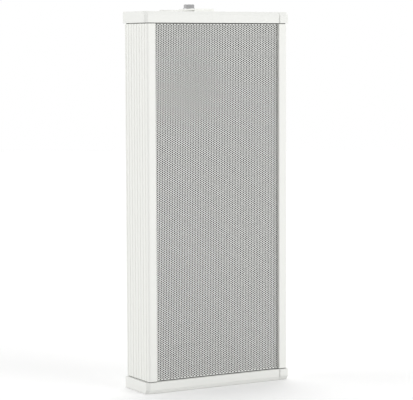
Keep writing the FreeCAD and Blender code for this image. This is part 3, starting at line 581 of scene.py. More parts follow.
def perforated_recipe():
    """Sheet of staggered holes in the XZ plane: whole cells with a hole, and half cells at the ends."""
    r = Recipe("perforated sheet", {"Columns": "Int", "First Column": "Int", "Rows": "Int",
                                    "Pitch": "Float", "Radius": "Float", "Corners": "Int",
                                    "Thickness": "Float", "Place": "Vector", "Finish": "Material"})
    g = r.given
    pitch = g["Pitch"]
    touching = 0.01 * MM
    step = r.math("MULTIPLY", pitch, math.sqrt(3) / 2)
    half = r.math("MULTIPLY", pitch, 0.5)
    square = r.add("GeometryNodeCurvePrimitiveQuadrilateral", {"Width": step, "Height": pitch})
    frame_curve = r.add("GeometryNodeSubdivideCurve", {"Curve": square, "Cuts": 1})
    hole = r.add("GeometryNodeCurvePrimitiveCircle", {"Resolution": g["Corners"], "Radius": g["Radius"]})
    outline = r.add("GeometryNodeJoinGeometry", {"Geometry": [frame_curve, hole]})
    cell = r.add("GeometryNodeFillCurve", {"Curve": outline})
    half_cell = r.add("GeometryNodeMeshGrid", {"Size X": step, "Size Y": half, "Vertices X": 3,
                                               "Vertices Y": 2})
    last_column = r.math("SUBTRACT", g["Columns"], 1)
    last_row = r.math("SUBTRACT", g["Rows"], 1)
    grid = r.add("GeometryNodeMeshGrid", {"Size X": r.math("MULTIPLY", last_column, step),
                                          "Size Y": r.math("MULTIPLY", last_row, pitch),
                                          "Vertices X": g["Columns"], "Vertices Y": g["Rows"]})
    index = r.add("GeometryNodeInputIndex")
    column = r.math("FLOOR", r.math("DIVIDE", r.math("ADD", index, 0.5), g["Rows"]))
    row = r.math("SUBTRACT", index, r.math("MULTIPLY", column, g["Rows"]))
    odd = r.math("MODULO", r.math("ADD", column, g["First Column"]), 2)
    shift = r.math("MULTIPLY", odd, half)
    points = r.add("GeometryNodeSetPosition", {"Geometry": grid, "Offset": r.vector(0.0, shift, 0.0)})
    whole = r.add("GeometryNodeInstanceOnPoints", {"Points": points, "Instance": cell})
    ends = []
    for wanted_row, wanted_odd, reach in ((0.0, 1.0, -0.75), (last_row, 0.0, 0.75)):
        at_row = r.math("COMPARE", row, wanted_row)
        at_column = r.math("COMPARE", odd, wanted_odd)
        for compare in (at_row, at_column):
            compare.node.inputs[2].default_value = 0.25
        pick = r.math("MULTIPLY", at_row, at_column)
        moved = r.add("GeometryNodeSetPosition",
                      {"Geometry": points, "Offset": r.vector(0.0, r.math("MULTIPLY", pitch, reach), 0.0)})
        ends.append(r.add("GeometryNodeInstanceOnPoints",
                          {"Points": moved, "Selection": pick, "Instance": half_cell}))
    tiles = r.add("GeometryNodeJoinGeometry", {"Geometry": [whole] + ends})
    flat = r.add("GeometryNodeMergeByDistance",
                 {"Geometry": r.add("GeometryNodeRealizeInstances", {"Geometry": tiles}),
                  "Distance": touching})
    front = r.add("GeometryNodeExtrudeMesh", {"Mesh": flat, "Offset Scale": g["Thickness"],
                                              "Individual": False}, mode="FACES")
    back = r.add("GeometryNodeFlipFaces", {"Mesh": flat})
    closed = r.add("GeometryNodeMergeByDistance",
                   {"Geometry": r.add("GeometryNodeJoinGeometry", {"Geometry": [front, back]}),
                    "Distance": touching})
    placed = r.add("GeometryNodeTransform", {"Geometry": closed, "Translation": g["Place"],
                                             "Rotation": (math.pi / 2, 0.0, 0.0)})
    r.finish(placed, g["Finish"])
    return r


def fastener_recipe():
    """One fastener on every point, turned by the point's own turn attribute."""
    r = Recipe("fasteners", {"Fastener": "Object", "Finish": "Material"})
    info = r.add("GeometryNodeObjectInfo", {"Object": r.given["Fastener"]})
    shape = info.node.outputs["Geometry"]
    turn = r.add("GeometryNodeInputNamedAttribute", {"Name": "turn"}, data_type="FLOAT_VECTOR")
    placed = r.add("GeometryNodeInstanceOnPoints", {"Points": r.given["Geometry"], "Instance": shape,
                                                    "Rotation": turn})
    r.finish(placed, r.given["Finish"])
    return r


def fasteners(name, fastener, places, material):
    """Copies of a fastener whose own axis is +Z, one at each (point, direction)."""
    mesh = bpy.data.meshes.new(name)
    mesh.from_pydata([p for p, d in places], [], [])
    turns = mesh.attributes.new("turn", "FLOAT_VECTOR", "POINT")
    for item, (p, d) in zip(turns.data, places):
        item.vector = UP.rotation_difference(d).to_euler()
    group = fastener_recipe().run(name, {"Fastener": fastener, "Finish": material}, mesh)
    bpy.data.objects.remove(fastener)
    return shade(group)


# ---- putting a piece into the assembly ----
FINISHES = {}


def settle(piece, *nodes, body="cabinet"):
    """The piece takes its first node's finish, stands for the nodes and moves with the body."""
    slot = slot_of(nodes[0])
    piece.data.materials.clear()
    piece.data.materials.append(FINISHES[slot])
    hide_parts(*nodes)
    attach(piece, body)
    return piece


# ---- studio ----
class SPEAKER_OT_studio(bpy.types.Operator):
    """Plain pale floor, soft light and a camera"""
    bl_idname = "speaker.studio"
    bl_label = "Studio"

    def execute(self, context):
        context.scene.view_settings.view_transform = "Standard"
        self.add_camera(context)
        self.add_floor()
        self.add_world(context)
        self.add_lamps()
        return {"FINISHED"}

    def add_camera(self, context):
        """Eye at a place, turned from straight back by a yaw, a downward pitch and a roll in degrees."""
        place = (-1.2397, -2.1734, 0.4720)
        yaw, pitch, roll = (math.radians(a) for a in (29.66, 4.78, -0.22))
        data = bpy.data.cameras.new("camera")
        data.sensor_width = 36
        data.lens = 154.4
        data.clip_end = 50
        level_ahead = Vector((math.sin(yaw), math.cos(yaw), 0))
        ahead = level_ahead * math.cos(pitch) - UP * math.sin(pitch)
        right = Vector((math.cos(yaw), -math.sin(yaw), 0))
        above = right.cross(ahead)
        level = right * math.cos(roll) + above * math.sin(roll)
        upright = above * math.cos(roll) - right * math.sin(roll)
        turn = Matrix((level, upright, -ahead)).transposed()
        camera = new_object("camera", data)
        camera.matrix_world = Matrix.Translation(place) @ turn.to_4x4()
        context.scene.camera = camera

    def add_floor(self):
        """Round floor, just under the feet; what the camera sees of it is paler and glows a little."""
        radius, thick, gap = 6.0, 0.01, 0.2 * MM
        lighting_grey, seen_grey, seen_glow = 0.80, 0.93, 0.1
        floor = turned([(radius, -thick), (radius, 0.0)], UP * -gap, UP, "floor", 96)
        material = bpy.data.materials.new("pale floor")
        material.use_nodes = True
        tree = material.node_tree
        tree.nodes.clear()
        glow = tree.nodes.new("ShaderNodeEmission")
        glow.inputs["Strength"].default_value = seen_glow
        seen = tree.nodes.new("ShaderNodeAddShader")
        tree.links.new(self.matt(tree, seen_grey), seen.inputs[0])
        tree.links.new(glow.outputs[0], seen.inputs[1])
        mix = tree.nodes.new("ShaderNodeMixShader")
        tree.links.new(self.seen_directly(tree), mix.inputs[0])
        tree.links.new(self.matt(tree, lighting_grey), mix.inputs[1])
        tree.links.new(seen.outputs[0], mix.inputs[2])
        out = tree.nodes.new("ShaderNodeOutputMaterial")
        tree.links.new(mix.outputs[0], out.inputs["Surface"])
        floor.data.materials.append(material)

    def matt(self, tree, grey):
        diffuse = tree.nodes.new("ShaderNodeBsdfDiffuse")
        diffuse.inputs["Color"].default_value = (grey, grey, grey, 1)
        return diffuse.outputs[0]

    def seen_directly(self, tree):
        """1 for rays that show the background to the camera, straight or through metal and glass."""
        rays = tree.nodes.new("ShaderNodeLightPath")
        total = rays.outputs["Is Camera Ray"]
        for other in ("Is Glossy Ray", "Is Transmission Ray"):
            larger = tree.nodes.new("ShaderNodeMath")
            larger.operation = "MAXIMUM"
            tree.links.new(total, larger.inputs[0])
            tree.links.new(rays.outputs[other], larger.inputs[1])
            total = larger.outputs[0]
        return total

    def add_world(self, context):
        """Even light from all round, at one level for lighting and at white where it is seen."""
        lighting, seen = 0.50, 1.0
        world = bpy.data.worlds.new("studio")
        world.use_nodes = True
        tree = world.node_tree
        back = tree.nodes["Background"]
        back.inputs["Color"].default_value = (1, 1, 1, 1)
        level = tree.nodes.new("ShaderNodeMapRange")
        level.inputs["To Min"].default_value = lighting
        level.inputs["To Max"].default_value = seen
        tree.links.new(self.seen_directly(tree), level.inputs["Value"])
        tree.links.new(level.outputs["Result"], back.inputs["Strength"])
        context.scene.world = world

    def add_lamps(self):
        """Distant lamps: name, direction towards the lamp, strength and spread in degrees."""
        lamps = [("left", (-1.0, 0.4, 0.3), 1.3, 45), ("right", (0.62, -1.0, 0.35), 1.42, 45),
                 ("behind", (0.3, 0.5, 1.15), 0.95, 40)]
        for name, towards, strength, spread in lamps:
            data = bpy.data.lights.new(name, "SUN")
            data.energy = strength
            data.angle = math.radians(spread)
            lamp = new_object(name, data)
            lamp.rotation_euler = UP.rotation_difference(Vector(towards)).to_euler()


# ---- front sheet and cloth ----
class SPEAKER_OT_front(bpy.types.Operator):
    """Perforated sheet in the body's front channel and the black cloth behind it"""
    bl_idname = "speaker.front"
    bl_label = "Front sheet"

    def execute(self, context):
        self.add_sheet()
        self.add_cloth()
        return {"FINISHED"}

    def add_sheet(self):
        s = sizes()
        lo, hi = low("grille"), high("grille")
        step = s.hole_pitch * math.sqrt(3) / 2
        rounding = 1e-6
        rows = int((hi.z - lo.z) / s.hole_pitch - 0.5 + rounding)
        columns = int((hi.x - lo.x) / step / s.grille_panels) * s.grille_panels
        each = columns // s.grille_panels
        middle_z = (lo.z + hi.z) / 2 - s.hole_pitch / 4
        recipe = perforated_recipe()
        for i in range(s.grille_panels):
            x = (i - (s.grille_panels - 1) / 2) * each * step + (lo.x + hi.x) / 2
            panel = recipe.run("front_sheet_%d" % (i + 1), {
                "Columns": each, "First Column": i * each, "Rows": rows, "Pitch": s.hole_pitch,
                "Radius": s.hole_radius, "Corners": s.hole_corners, "Thickness": hi.y - lo.y,
                "Place": (x, hi.y, middle_z), "Finish": FINISHES["grille_paint"]})
            settle(panel, "grille")

    def add_cloth(self):
        """Stretched between the ledges: flat at its edges, and barely drawn in between."""
        lo, hi = low("grille_cloth"), high("grille_cloth")
        across, up = 24, 54
        thin = 0.32 * MM
        sway = 0.05 * MM
        middle_y = (lo.y + hi.y) / 2
        bm = bmesh.new()
        grid = []
        for j in range(up + 1):
            row = []
            for i in range(across + 1):
                u, v = i / across, j / up
                dip = sway * math.sin(math.pi * u) * math.sin(math.pi * v) * math.sin(9 * v + 5 * u)
                row.append(bm.verts.new((lo.x + u * (hi.x - lo.x), middle_y + dip,
                                         lo.z + v * (hi.z - lo.z))))
            grid.append(row)
        for near, far in zip(grid, grid[1:]):
            for i in range(across):
                bm.faces.new((near[i], near[i + 1], far[i + 1], far[i]))
        cloth = from_bmesh("grille_cloth_sheet", bm)
        wall = cloth.modifiers.new("wall", "SOLIDIFY")
        wall.thickness = thin
        wall.offset = 0
        settle(shade(baked(cloth)), "grille_cloth")


# ---- body ----
class SPEAKER_OT_body(bpy.types.Operator):
    """Extruded body with fluted sides, and the foam under each cap"""
    bl_idname = "speaker.body"
    bl_label = "Body"

    def execute(self, context):
        self.add_extrusion()
        for node, name in (("top_gasket", "top_seal"), ("bottom_gasket", "bottom_seal")):
            self.add_gasket(node, name)
        return {"FINISHED"}

    def add_extrusion(self):
        lo, hi = low("cabinet_extrusion"), high("cabinet_extrusion")
        half = self.half_profile(lo, hi)
        profile = half + [(-x, y) for x, y in reversed(half)]
        rings = [[Vector((x, y, z)) for x, y in profile] for z in (lo.z, hi.z)]
        body = skin("body_extrusion", rings)
        port, port_bore, gland_hole, through = 3.95 * MM, 1.9 * MM, 8.05 * MM, 8.0 * MM
        bores = []
        ports = []
        for x, y in screw_ports():
            foot = Vector((x, y, lo.z))
            ports.append(disc(port, foot, UP, hi.z - lo.z, 32))
            bores.append(disc(port_bore, foot - UP * OVERCUT, UP, hi.z - lo.z + 2 * OVERCUT, 24))
        fused(body, ports)
        gland = (low("cable_gland") + high("cable_gland")) / 2
        back = hi.y - through / 2
        bores.append(disc(gland_hole, Vector((gland.x, back, gland.z)), BACK, through))
        for z in ear_screws():
            bores.append(disc(SCREW_PASS, Vector((0, back, z)), BACK, through, 32))
        carve(body, bores)
        settle(shade(body, 24), "cabinet_extrusion")

    def half_profile(self, lo, hi):
        """Right half of the section: inside from back to front, and outside from front to back."""
        corner, edge, stile, lip, lip_depth = 3.0 * MM, 0.5 * MM, 13.0 * MM, 1.5 * MM, 4.2 * MM
        reach, ledge = 6.0 * MM, 2.0 * MM
        mouth = hi.x - stile
        inner = hi.x - WALL
        baffle_front, baffle_back = low("baffle").y, high("baffle").y
        ledges = [high("grille_cloth").y + SLIP, baffle_front - SLIP - ledge, baffle_back + SLIP]
        inside = [(inner, hi.y - WALL)]
        for y in reversed(ledges):
            inside += [(inner, y + ledge), (inner - reach, y + ledge), (inner - reach, y), (inner, y)]
        inside += [(inner, lo.y + WALL), (mouth + lip, lo.y + WALL), (mouth + lip, lo.y + lip_depth)]
        inside += [(mouth, lo.y + lip_depth)]
        front = arc(mouth + edge, lo.y + edge, edge, 180, 270, 3)
        front += arc(hi.x - corner, lo.y + corner, corner, 270, 360, 6)
        back = self.fluted_side(hi.x, lo.y + corner, hi.y)
        back += arc(hi.x - edge, hi.y - edge, edge, 0, 90, 3)
        return inside + front + back

    def fluted_side(self, x, start, end):
        """Round grooves with a flat between each pair, from front to back."""
        s = sizes()
        if s.flutes == 0:
            return []
        pitch = (end - start) / s.flutes
        chord = pitch - s.flute_land
        radius = (chord * chord / 4 + s.flute_depth ** 2) / (2 * s.flute_depth)
        half_turn = math.degrees(math.asin(chord / 2 / radius))
        centre = x - s.flute_depth + radius
        points = []
        for i in range(s.flutes):
            middle = start + pitch * (i + 0.5)
            points += arc(centre, middle, radius, 180 + half_turn, 180 - half_turn, 8)
        return points

    def add_gasket(self, node, name):
        """Die-cut foam frame with rounded corners, its edge squeezed out a little."""
        width, bulge, outer_corner, window_corner = 8.5 * MM, 0.25 * MM, 2.0 * MM, 3.0 * MM
        screw_room, ledge_overlap = 2.3 * MM, 0.1 * MM
        lo, hi = low(node), high(node)
        thick = hi.z - lo.z
        half_x, half_y = (hi.x - lo.x) / 2, (hi.y - lo.y) / 2
        centre = (lo + hi) / 2
        rings = []
        for share, inset in ((0.0, bulge), (0.3, 0.0), (0.7, 0.0), (1.0, bulge)):
            outline = rounded(half_x - inset, half_y - inset, outer_corner)
            rings.append([Vector((centre.x + x, centre.y + y, lo.z + share * thick)) for x, y in outline])
        foam = skin(name, rings)
        z0, z1 = lo.z - OVERCUT, hi.z + OVERCUT
        hole = [Vector((centre.x + x, centre.y + y, 0)) for x, y in
                rounded(half_x - width, half_y - width, window_corner)]
        sheet_y, ledge_y = low("grille").y, high("grille_cloth").y + SLIP
        inner = high("cabinet_extrusion").x - WALL
        carve(foam, [skin("window", [[p + UP * z for p in hole] for z in (z0, z1)])])
        carve(foam, [block((-inner, sheet_y - SLIP, z0), (inner, ledge_y, z1))])
        carve(foam, [block((-HALF_MOUTH, lo.y - OVERCUT, z0), (HALF_MOUTH, ledge_y - ledge_overlap, z1))])
        carve(foam, [disc(screw_room, Vector((x, y, z0)), UP, thick + 2 * OVERCUT, 24)
                     for x, y in screw_ports()])
        settle(shade(foam), node)


def screw_ports():
    """Axes of the four screws at each end, in plan, a head's radius in from the box round them."""
    head = 3.95 * MM
    lo, hi = low("cap_screws"), high("cap_screws")
    return [(x, y) for x in (lo.x + head, hi.x - head) for y in (lo.y + head, hi.y - head)]


def ear_screws():
    """Heights of the two screws that hold the ear to the back."""
    margin, spacing = 7.5 * MM, 22.0 * MM
    first = high("bottom_arm").z - margin
    return [first, first - spacing]


def arm_screws():
    """Places of the two screws that hold the strap to the top cap, front to back."""
    margin, spacing = 7.5 * MM, 11.0 * MM
    first = low("top_arm").y + margin
    return [first, first + spacing]


def pivot_y():
    """Place of the swivel's axis, front to back."""
    return (low("pivot_washers").y + high("pivot_washers").y) / 2


# ---- end caps ----
class SPEAKER_OT_caps(bpy.types.Operator):
    """Moulded end caps with a bevelled front edge and a set-back middle"""
    bl_idname = "speaker.caps"
    bl_label = "End caps"

    def execute(self, context):
        self.add_cap("top_cap", "top_end_cap", 1)
        self.add_cap("bottom_cap", "bottom_end_cap", -1)
        return {"FINISHED"}

    def add_cap(self, node, name, way):
        """way is +1 for the top cap, whose outer face looks up, and -1 for the bottom one."""
        lo, hi = low(node), high(node)
        height = 16.0 * MM
        foot = hi.z - height if way > 0 else lo.z + height
        half_x = (hi.x - lo.x) / 2
        rings = []
        for z, inset, bevel in self.levels(height):
            outline = self.outline(half_x, lo.y, hi.y, inset, bevel)
            rings.append([Vector((x, y, foot + way * z)) for x, y in outline])
        cap = skin(name, rings)
        carve(cap, self.cells(lo, hi, foot, way, height) + self.screw_holes(foot, way, height, node))
        fused(cap, self.tongues(foot, way))
        settle(shade(cap, 28), node)

    def levels(self, height):
        """(height, inset all round, set-back of the front edge) from the inner rim to the outer face."""
        bevel_height, bevel_depth, edge = 5.5 * MM, 4.0 * MM, 0.6 * MM
        rim, blend, blend_depth = 0.35 * MM, 0.5 * MM, 0.12 * MM
        start = height - bevel_height
        slope = bevel_depth / bevel_height
        steps = [(0.0, rim, 0.0), (rim, 0.0, 0.0), (start - blend, 0.0, 0.0)]
        steps += [(start, 0.0, blend_depth), (start + blend, 0.0, blend * slope)]
        steps += [(height - edge, 0.0, (bevel_height - edge) * slope)]
        for turn in (22.5, 45.0, 67.5, 90.0):
            a = math.radians(turn)
            rise = edge * math.sin(a)
            inset = edge * (1 - math.cos(a))
            steps.append((height - edge + rise, inset, (bevel_height - edge) * slope + inset * 0.6))
        return steps

    def outline(self, half_x, front, back, inset, bevel):
        """Plan of the cap at one height; the front's middle is set back between the two corners."""
        corner, rear, recess, fillet = 4.5 * MM, 1.5 * MM, 1.5 * MM, 0.4 * MM
        x1, y1 = half_x - inset, back - inset
        y0 = front + inset + bevel
        middle = max(front + recess + inset, y0)
        step = middle - y0
        right = [(HALF_MOUTH, middle), (HALF_MOUTH + min(fillet, step) * 0.3, middle - 0.5 * step)]
        right += [(HALF_MOUTH + fillet, y0)]
        right += [(x1 - corner - fillet, y0), (x1 - corner + fillet * 0.5, y0 + fillet * 0.35)]
        right += [(x1 - fillet * 0.35, y0 + corner - fillet * 0.5), (x1, y0 + corner + fillet)]
        right += arc(x1 - rear, y1 - rear, rear, 0, 90, 5)
        return right + [(-x, y) for x, y in reversed(right)]

    def cells(self, lo, hi, foot, way, height):
        """Hollows between the ribs on the inner side."""
        rail, front_rail, back_rail, rib, face = 16.0 * MM, 12.0 * MM, 4.0 * MM, 2.0 * MM, 3.5 * MM
        across, deep = 7, 2
        x0, x1 = lo.x + rail, hi.x - rail
        y0, y1 = lo.y + front_rail, hi.y - back_rail
        step_x = (x1 - x0 + rib) / across
        step_y = (y1 - y0 + rib) / deep
        depth = sorted((foot - way * OVERCUT, foot + way * (height - face)))
        cells = []
        for i in range(across):
            for j in range(deep):
                x, y = x0 + i * step_x, y0 + j * step_y
                cells.append(block((x, y, depth[0]), (x + step_x - rib, y + step_y - rib, depth[1])))
        return cells

    def screw_holes(self, foot, way, height, node):
        """Clearance holes with room for countersunk heads, and the strap's two holes in the top cap."""
        cuts = []
        shank, head, sink = 2.05 * MM, 4.05 * MM, 2.2 * MM
        profile = [(shank, -OVERCUT), (shank, height - sink), (head, height),
                   (head + OVERCUT, height + OVERCUT)]
        for x, y in screw_ports():
            cuts.append(turned(profile, Vector((x, y, foot)), UP * way, "hole", 32))
        if node == "top_cap":
            cuts += [disc(SCREW_PASS, Vector((0, y, foot - OVERCUT)), UP, height + 2 * OVERCUT, 32)
                     for y in arm_screws()]
        return cuts

    def tongues(self, foot, way):
        """Bars that reach into the body: one along the back and one at each side."""
        long, root, half_back, back_bar, side_bar = 6.0 * MM, 0.5 * MM, 96.5 * MM, 4.0 * MM, 2.5 * MM
        clear = 6.0 * MM
        depth = sorted((foot - way * long, foot + way * root))
        inner = high("cabinet_extrusion").x - WALL - SLIP
        back = high("cabinet_extrusion").y - WALL - SLIP
        bars = [block((-half_back, back - back_bar, depth[0]), (half_back, back, depth[1]))]
        ports = sorted({y for x, y in screw_ports()})
        for side in (-1, 1):
            x = sorted((side * inner, side * (inner - side_bar)))
            bars.append(block((x[0], ports[0] + clear, depth[0]), (x[1], ports[1] - clear, depth[1])))
        return bars


# ---- brackets ----
class SPEAKER_OT_brackets(bpy.types.Operator):
    """Strap on the top cap, ear on the back, and the two wall brackets"""
    bl_idname = "speaker.brackets"
    bl_label = "Brackets"

    def execute(self, context):
        self.add_top_arm()
        self.add_bottom_arm()
        for node, name, body in (("top_wall_bracket", "top_wall_plate", "top_bracket"),
                                 ("bottom_wall_bracket", "bottom_wall_plate", "bottom_bracket")):
            self.add_wall_bracket(node, name, body)
        return {"FINISHED"}

    def strap(self, name, front, z, half):
        """Flat strap with a round end about the pivot bolt."""
        outline = [(-half, front), (half, front)] + arc(0, pivot_y(), half, 0, 180, 24)
        return slab(name, outline, UP * z, STRAP, RIGHT, BACK, UP)

    def pivot_hole(self, z, length):
        return disc(PIVOT_RADIUS, Vector((0, pivot_y(), z - OVERCUT)), UP, length + 2 * OVERCUT)

    def sunk_hole(self, top, axis):
        """Hole with a countersink that opens along the axis, flush at the given point."""
        head, sink, deep = 4.65 * MM, 2.1 * MM, 6.0 * MM
        profile = [(SCREW_PASS, -deep), (SCREW_PASS, -sink), (head, 0.0), (head + OVERCUT, OVERCUT)]
        return turned(profile, top, axis, "sunk", 32)

    def add_top_arm(self):
        """Strap held off the cap by a lip at its front and a pressed dimple round each screw."""
        lo, hi = low("top_arm"), high("top_arm")
        lift = hi.z - STRAP
        half = hi.x
        arm = self.strap("top_strap", lo.y, lift, half)
        lip = block((-half, lo.y, lo.z), (half, lo.y + STRAP, lift + 0.5 * STRAP))
        dimple = in_mm([(4.9, 0.0), (5.6, 0.25), (5.9, 1.0), (6.0, 2.4)])
        dimples = [turned(dimple, Vector((0, y, lo.z)), UP, "dimple") for y in arm_screws()]
        fused(arm, [lip] + dimples)
        cuts = [self.sunk_hole(Vector((0, y, hi.z)), UP) for y in arm_screws()]
        carve(arm, cuts + [self.pivot_hole(lo.z, hi.z - lo.z)])
        settle(shade(soften(arm, sizes().soft_edge)), "top_arm")

    def add_bottom_arm(self):
        """Ear under the lower hinge, with an upright flange screwed to the back."""
        corner = 2.0 * MM
        lo, hi = low("bottom_arm"), high("bottom_arm")
        arm = self.strap("back_ear", lo.y, lo.z, hi.x)
        flange = self.upright("flange", 0, (lo.z + hi.z) / 2, hi.x, (hi.z - lo.z) / 2, corner, 6,
                              lo.y, STRAP)
        fused(arm, [flange])
        face = lo.y + STRAP
        cuts = [self.sunk_hole(Vector((0, face, z)), BACK) for z in ear_screws()]
        carve(arm, cuts + [self.pivot_hole(lo.z, STRAP)])
        settle(shade(soften(arm, sizes().soft_edge)), "bottom_arm")

    def upright(self, name, x, z, half_x, half_z, corner, steps, y, thickness):
        """Upright plate with rounded corners about (x, z), its front face at y."""
        outline = [(u, v + z) for u, v in rounded(half_x, half_z, corner, steps)]
        return slab(name, outline, Vector((x, y, 0)), thickness, RIGHT, UP, BACK)

    def add_wall_bracket(self, node, name, body):
        """Plate on the wall, with a tongue welded to it that the pivot bolt passes."""
        half, corner, hole = 15.0 * MM, 8.0 * MM, 3.25 * MM
        half_across, rows_apart, margin = 20.0 * MM, 24.0 * MM, 9.0 * MM
        lower = node.startswith("bottom")
        lo, hi = low(node), high(node)
        middle = (lo + hi) / 2
        face = hi.y - TONGUE
        tongue_z = (low("pivot_spacers").z if lower else self.top_spacer_low()) - TONGUE
        root = hi.y - 0.5 * TONGUE
        outline = [(-half, root)] + arc(0, pivot_y(), half, 180, 360, 24) + [(half, root)]
        bracket = slab(name, outline, UP * tongue_z, TONGUE, RIGHT, BACK, UP)
        plate = self.upright("plate", middle.x, middle.z, (hi.x - lo.x) / 2, (hi.z - lo.z) / 2, corner, 8,
                             face, TONGUE)
        fused(bracket, [plate, self.weld(tongue_z, face, half)])
        inwards, outer = (-1, hi.z) if lower else (1, lo.z)
        cuts = [self.pivot_hole(tongue_z, TONGUE)]
        for row in (0, rows_apart):
            for x in (-half_across, half_across):
                start = Vector((x, face - OVERCUT, outer + inwards * (margin + row)))
                cuts.append(disc(hole, start, BACK, TONGUE + 2 * OVERCUT, 40))
        carve(bracket, cuts)
        settle(shade(soften(bracket, sizes().soft_edge)), node, body=body)

    def top_spacer_low(self):
        """Underside of the upper nylon washer, as far below the strap as the lower one is."""
        gap = low("bottom_arm").z - low("pivot_spacers").z
        return high("top_arm").z - STRAP - gap

    def weld(self, z, face, half):
        """Small fillet weld under the tongue, along the plate, its bead swelling and thinning."""
        leg, short, pad = 1.8 * MM, 1.5 * MM, 0.4 * MM
        count = 36
        rings = []
        for i in range(count + 1):
            x = -half + short + (2 * half - 2 * short) * i / count
            swell = 1 + 0.12 * math.sin(i * 2.1)
            ring = [(face + pad, z + pad), (face - leg * swell, z + pad)]
            ring += [(face - 0.62 * leg * swell, z - 0.45 * leg * swell)]
            ring += [(face - 0.3 * leg * swell, z - 0.78 * leg * swell)]
            ring += [(face + pad, z - leg * swell)]
            rings.append([Vector((x, y, w)) for y, w in ring])
        return skin("weld", rings)


# ---- fasteners ----
class SPEAKER_OT_fasteners(bpy.types.Operator):
    """Pivot bolts with their washers and nuts, and the countersunk screws"""
    bl_idname = "speaker.fasteners"
    bl_label = "Fasteners"

    def execute(self, context):
        shelves = (high("top_arm").z - STRAP, low("bottom_arm").z)
        stack = NYLON + TONGUE + WASHER
        steel = self.ring(PIVOT_RADIUS, outer=8.5 * MM, thick=WASHER, edge=0.25 * MM)
        nylon = self.ring(PIVOT_RADIUS, outer=13.0 * MM, thick=NYLON, edge=0.2 * MM)
        cap_screw = self.sunk_screw(shank=1.95, head=3.95, head_height=2.2, length=28.0, socket=2.5)
        strap_screw = self.sunk_screw(shank=2.45, head=4.55, head_height=2.1, length=10.0, socket=3.0)
        self.add("hex_bolts", "pivot_bolts", self.bolt(), self.stacked(shelves, STRAP + WASHER))
        self.add("washers", "pivot_washers", steel, self.stacked(shelves, STRAP, -stack))
        self.add("nylon_washers", "pivot_spacers", nylon, self.stacked(shelves, -NYLON))
        self.add("hex_nuts", "pivot_nuts", self.nut(), self.stacked(shelves, -stack - NUT))
        self.add("cap_fixings", "cap_screws", cap_screw, self.cap_places())
        self.add("strap_fixings", "arm_screws", strap_screw, self.strap_places())
        return {"FINISHED"}

    def add(self, name, node, fastener, places):
        settle(fasteners(name, fastener, places, FINISHES[slot_of(node)]), node)

    def stacked(self, shelves, *rises):
        """Places on the swivel's axis, at each rise from the underside of the strap and of the ear."""
        return [(Vector((0, pivot_y(), z + rise)), UP) for z in shelves for rise in rises]

    def cap_places(self):
        top, bottom = high("top_cap").z, low("bottom_cap").z
        return [(Vector((x, y, z)), way) for x, y in screw_ports() for z, way in ((top, UP), (bottom, -UP))]

    def strap_places(self):
        face = low("bottom_arm").y + STRAP
        places = [(Vector((0, y, high("top_arm").z)), UP) for y in arm_screws()]
        return places + [(Vector((0, face, z)), BACK) for z in ear_screws()]

    def hex_prism(self, height, both, name):
        """Hexagon with its corners chamfered at the top, and at the bottom too if both."""
        def radius(limit, height, a):
            return min(limit, hexagon(FLATS, a))
        half, wide = FLATS / 2, FLATS / math.sqrt(3)
        drop = (wide - half) * math.tan(math.radians(30))
        steps = [(half * 0.96, height), (half * 0.99, height - 0.1 * drop)]
        steps += [(half + (wide - half) * s, height - drop * (0.15 + 0.85 * s))
                  for s in (0.25, 0.5, 0.75, 1.0)]
        lower = [(r, height - h) for r, h in reversed(steps)] if both else [(wide, 0.0)]
        return turned(list(reversed(steps + lower)), ORIGIN, UP, name, 72, radius)

    def thread(self, radius, top, bottom, name):
        """Threaded shank, its crest winding up at the pitch, with a chamfered tip."""
        pitch = sizes().thread_pitch
        cut = 0.55 * pitch
        per_turn = 7
        count = int((top - bottom) / pitch * per_turn)
        step = (top - bottom) / count

        def wound(r, height, a):
            phase = (height / pitch - a / (2 * math.pi)) % 1.0
            ridge = min(1.0, 2.4 * min(phase, 1 - phase))
            fade = min(1.0, max(0.0, (top - height) / pitch - 1.2))
            return r - cut * (1 - ridge) * fade
        profile = [(radius - cut * 1.1, bottom)]
        profile += [(radius - cut * max(0.0, 1 - i * 0.35), bottom + step * i) for i in range(1, count)]
        profile += [(radius, top)]
        return turned(profile, ORIGIN, UP, name, 32, wound)

    def bolt(self):
        """Hex bolt; z 0 is the underside of its head."""
        head_height, radius, root, length = 5.3 * MM, 3.98 * MM, 0.4 * MM, 20.95 * MM
        head = self.hex_prism(head_height, False, "head")
        shank = self.thread(radius, root, -length, "shank")
        return joined("bolt", [fused(head, [shank])])

    def nut(self):
        nut = self.hex_prism(NUT, True, "nut")
        profile = in_mm([(5.0, -1.0), (4.05, 0.5), (4.05, 6.0), (5.0, 7.5)])
        bore = turned(profile, ORIGIN, UP, "bore", 36)
        return carve(nut, [bore])

    def ring(self, inner, outer, thick, edge):
        """Stamped washer with a rolled edge."""
        profile = [(outer - edge, 0.0), (outer, edge), (outer, thick - edge), (outer - edge, thick)]
        ring = turned(profile, ORIGIN, UP, "ring", 56)
        return carve(ring, [disc(inner, UP * -OVERCUT, UP, thick + 2 * OVERCUT, 40)])

    def sunk_screw(self, shank, head, head_height, length, socket):
        """Countersunk screw with a hexagonal socket, sizes in millimetres; z 0 is its flat top."""
        pitch, key_depth = 0.8, 1.6
        key_radius = socket * 0.577
        profile = [(shank * 0.6, -length), (shank, -length + 1.0)]
        turns = int((length - head_height - 2.0) / pitch)
        for i in range(turns):
            z = -length + 1.2 + i * pitch
            profile += [(shank, z), (shank * 0.84, z + pitch * 0.5)]
        profile += [(shank, -head_height), (head - 0.12, -0.22), (head, -0.1), (head - 0.15, 0.0)]
        screw = turned(in_mm(profile), ORIGIN, UP, "screw", 30)
        key = turned(in_mm([(key_radius, -key_depth), (key_radius, 1.0)]), ORIGIN, UP, "key", 6)
        return carve(screw, [key])


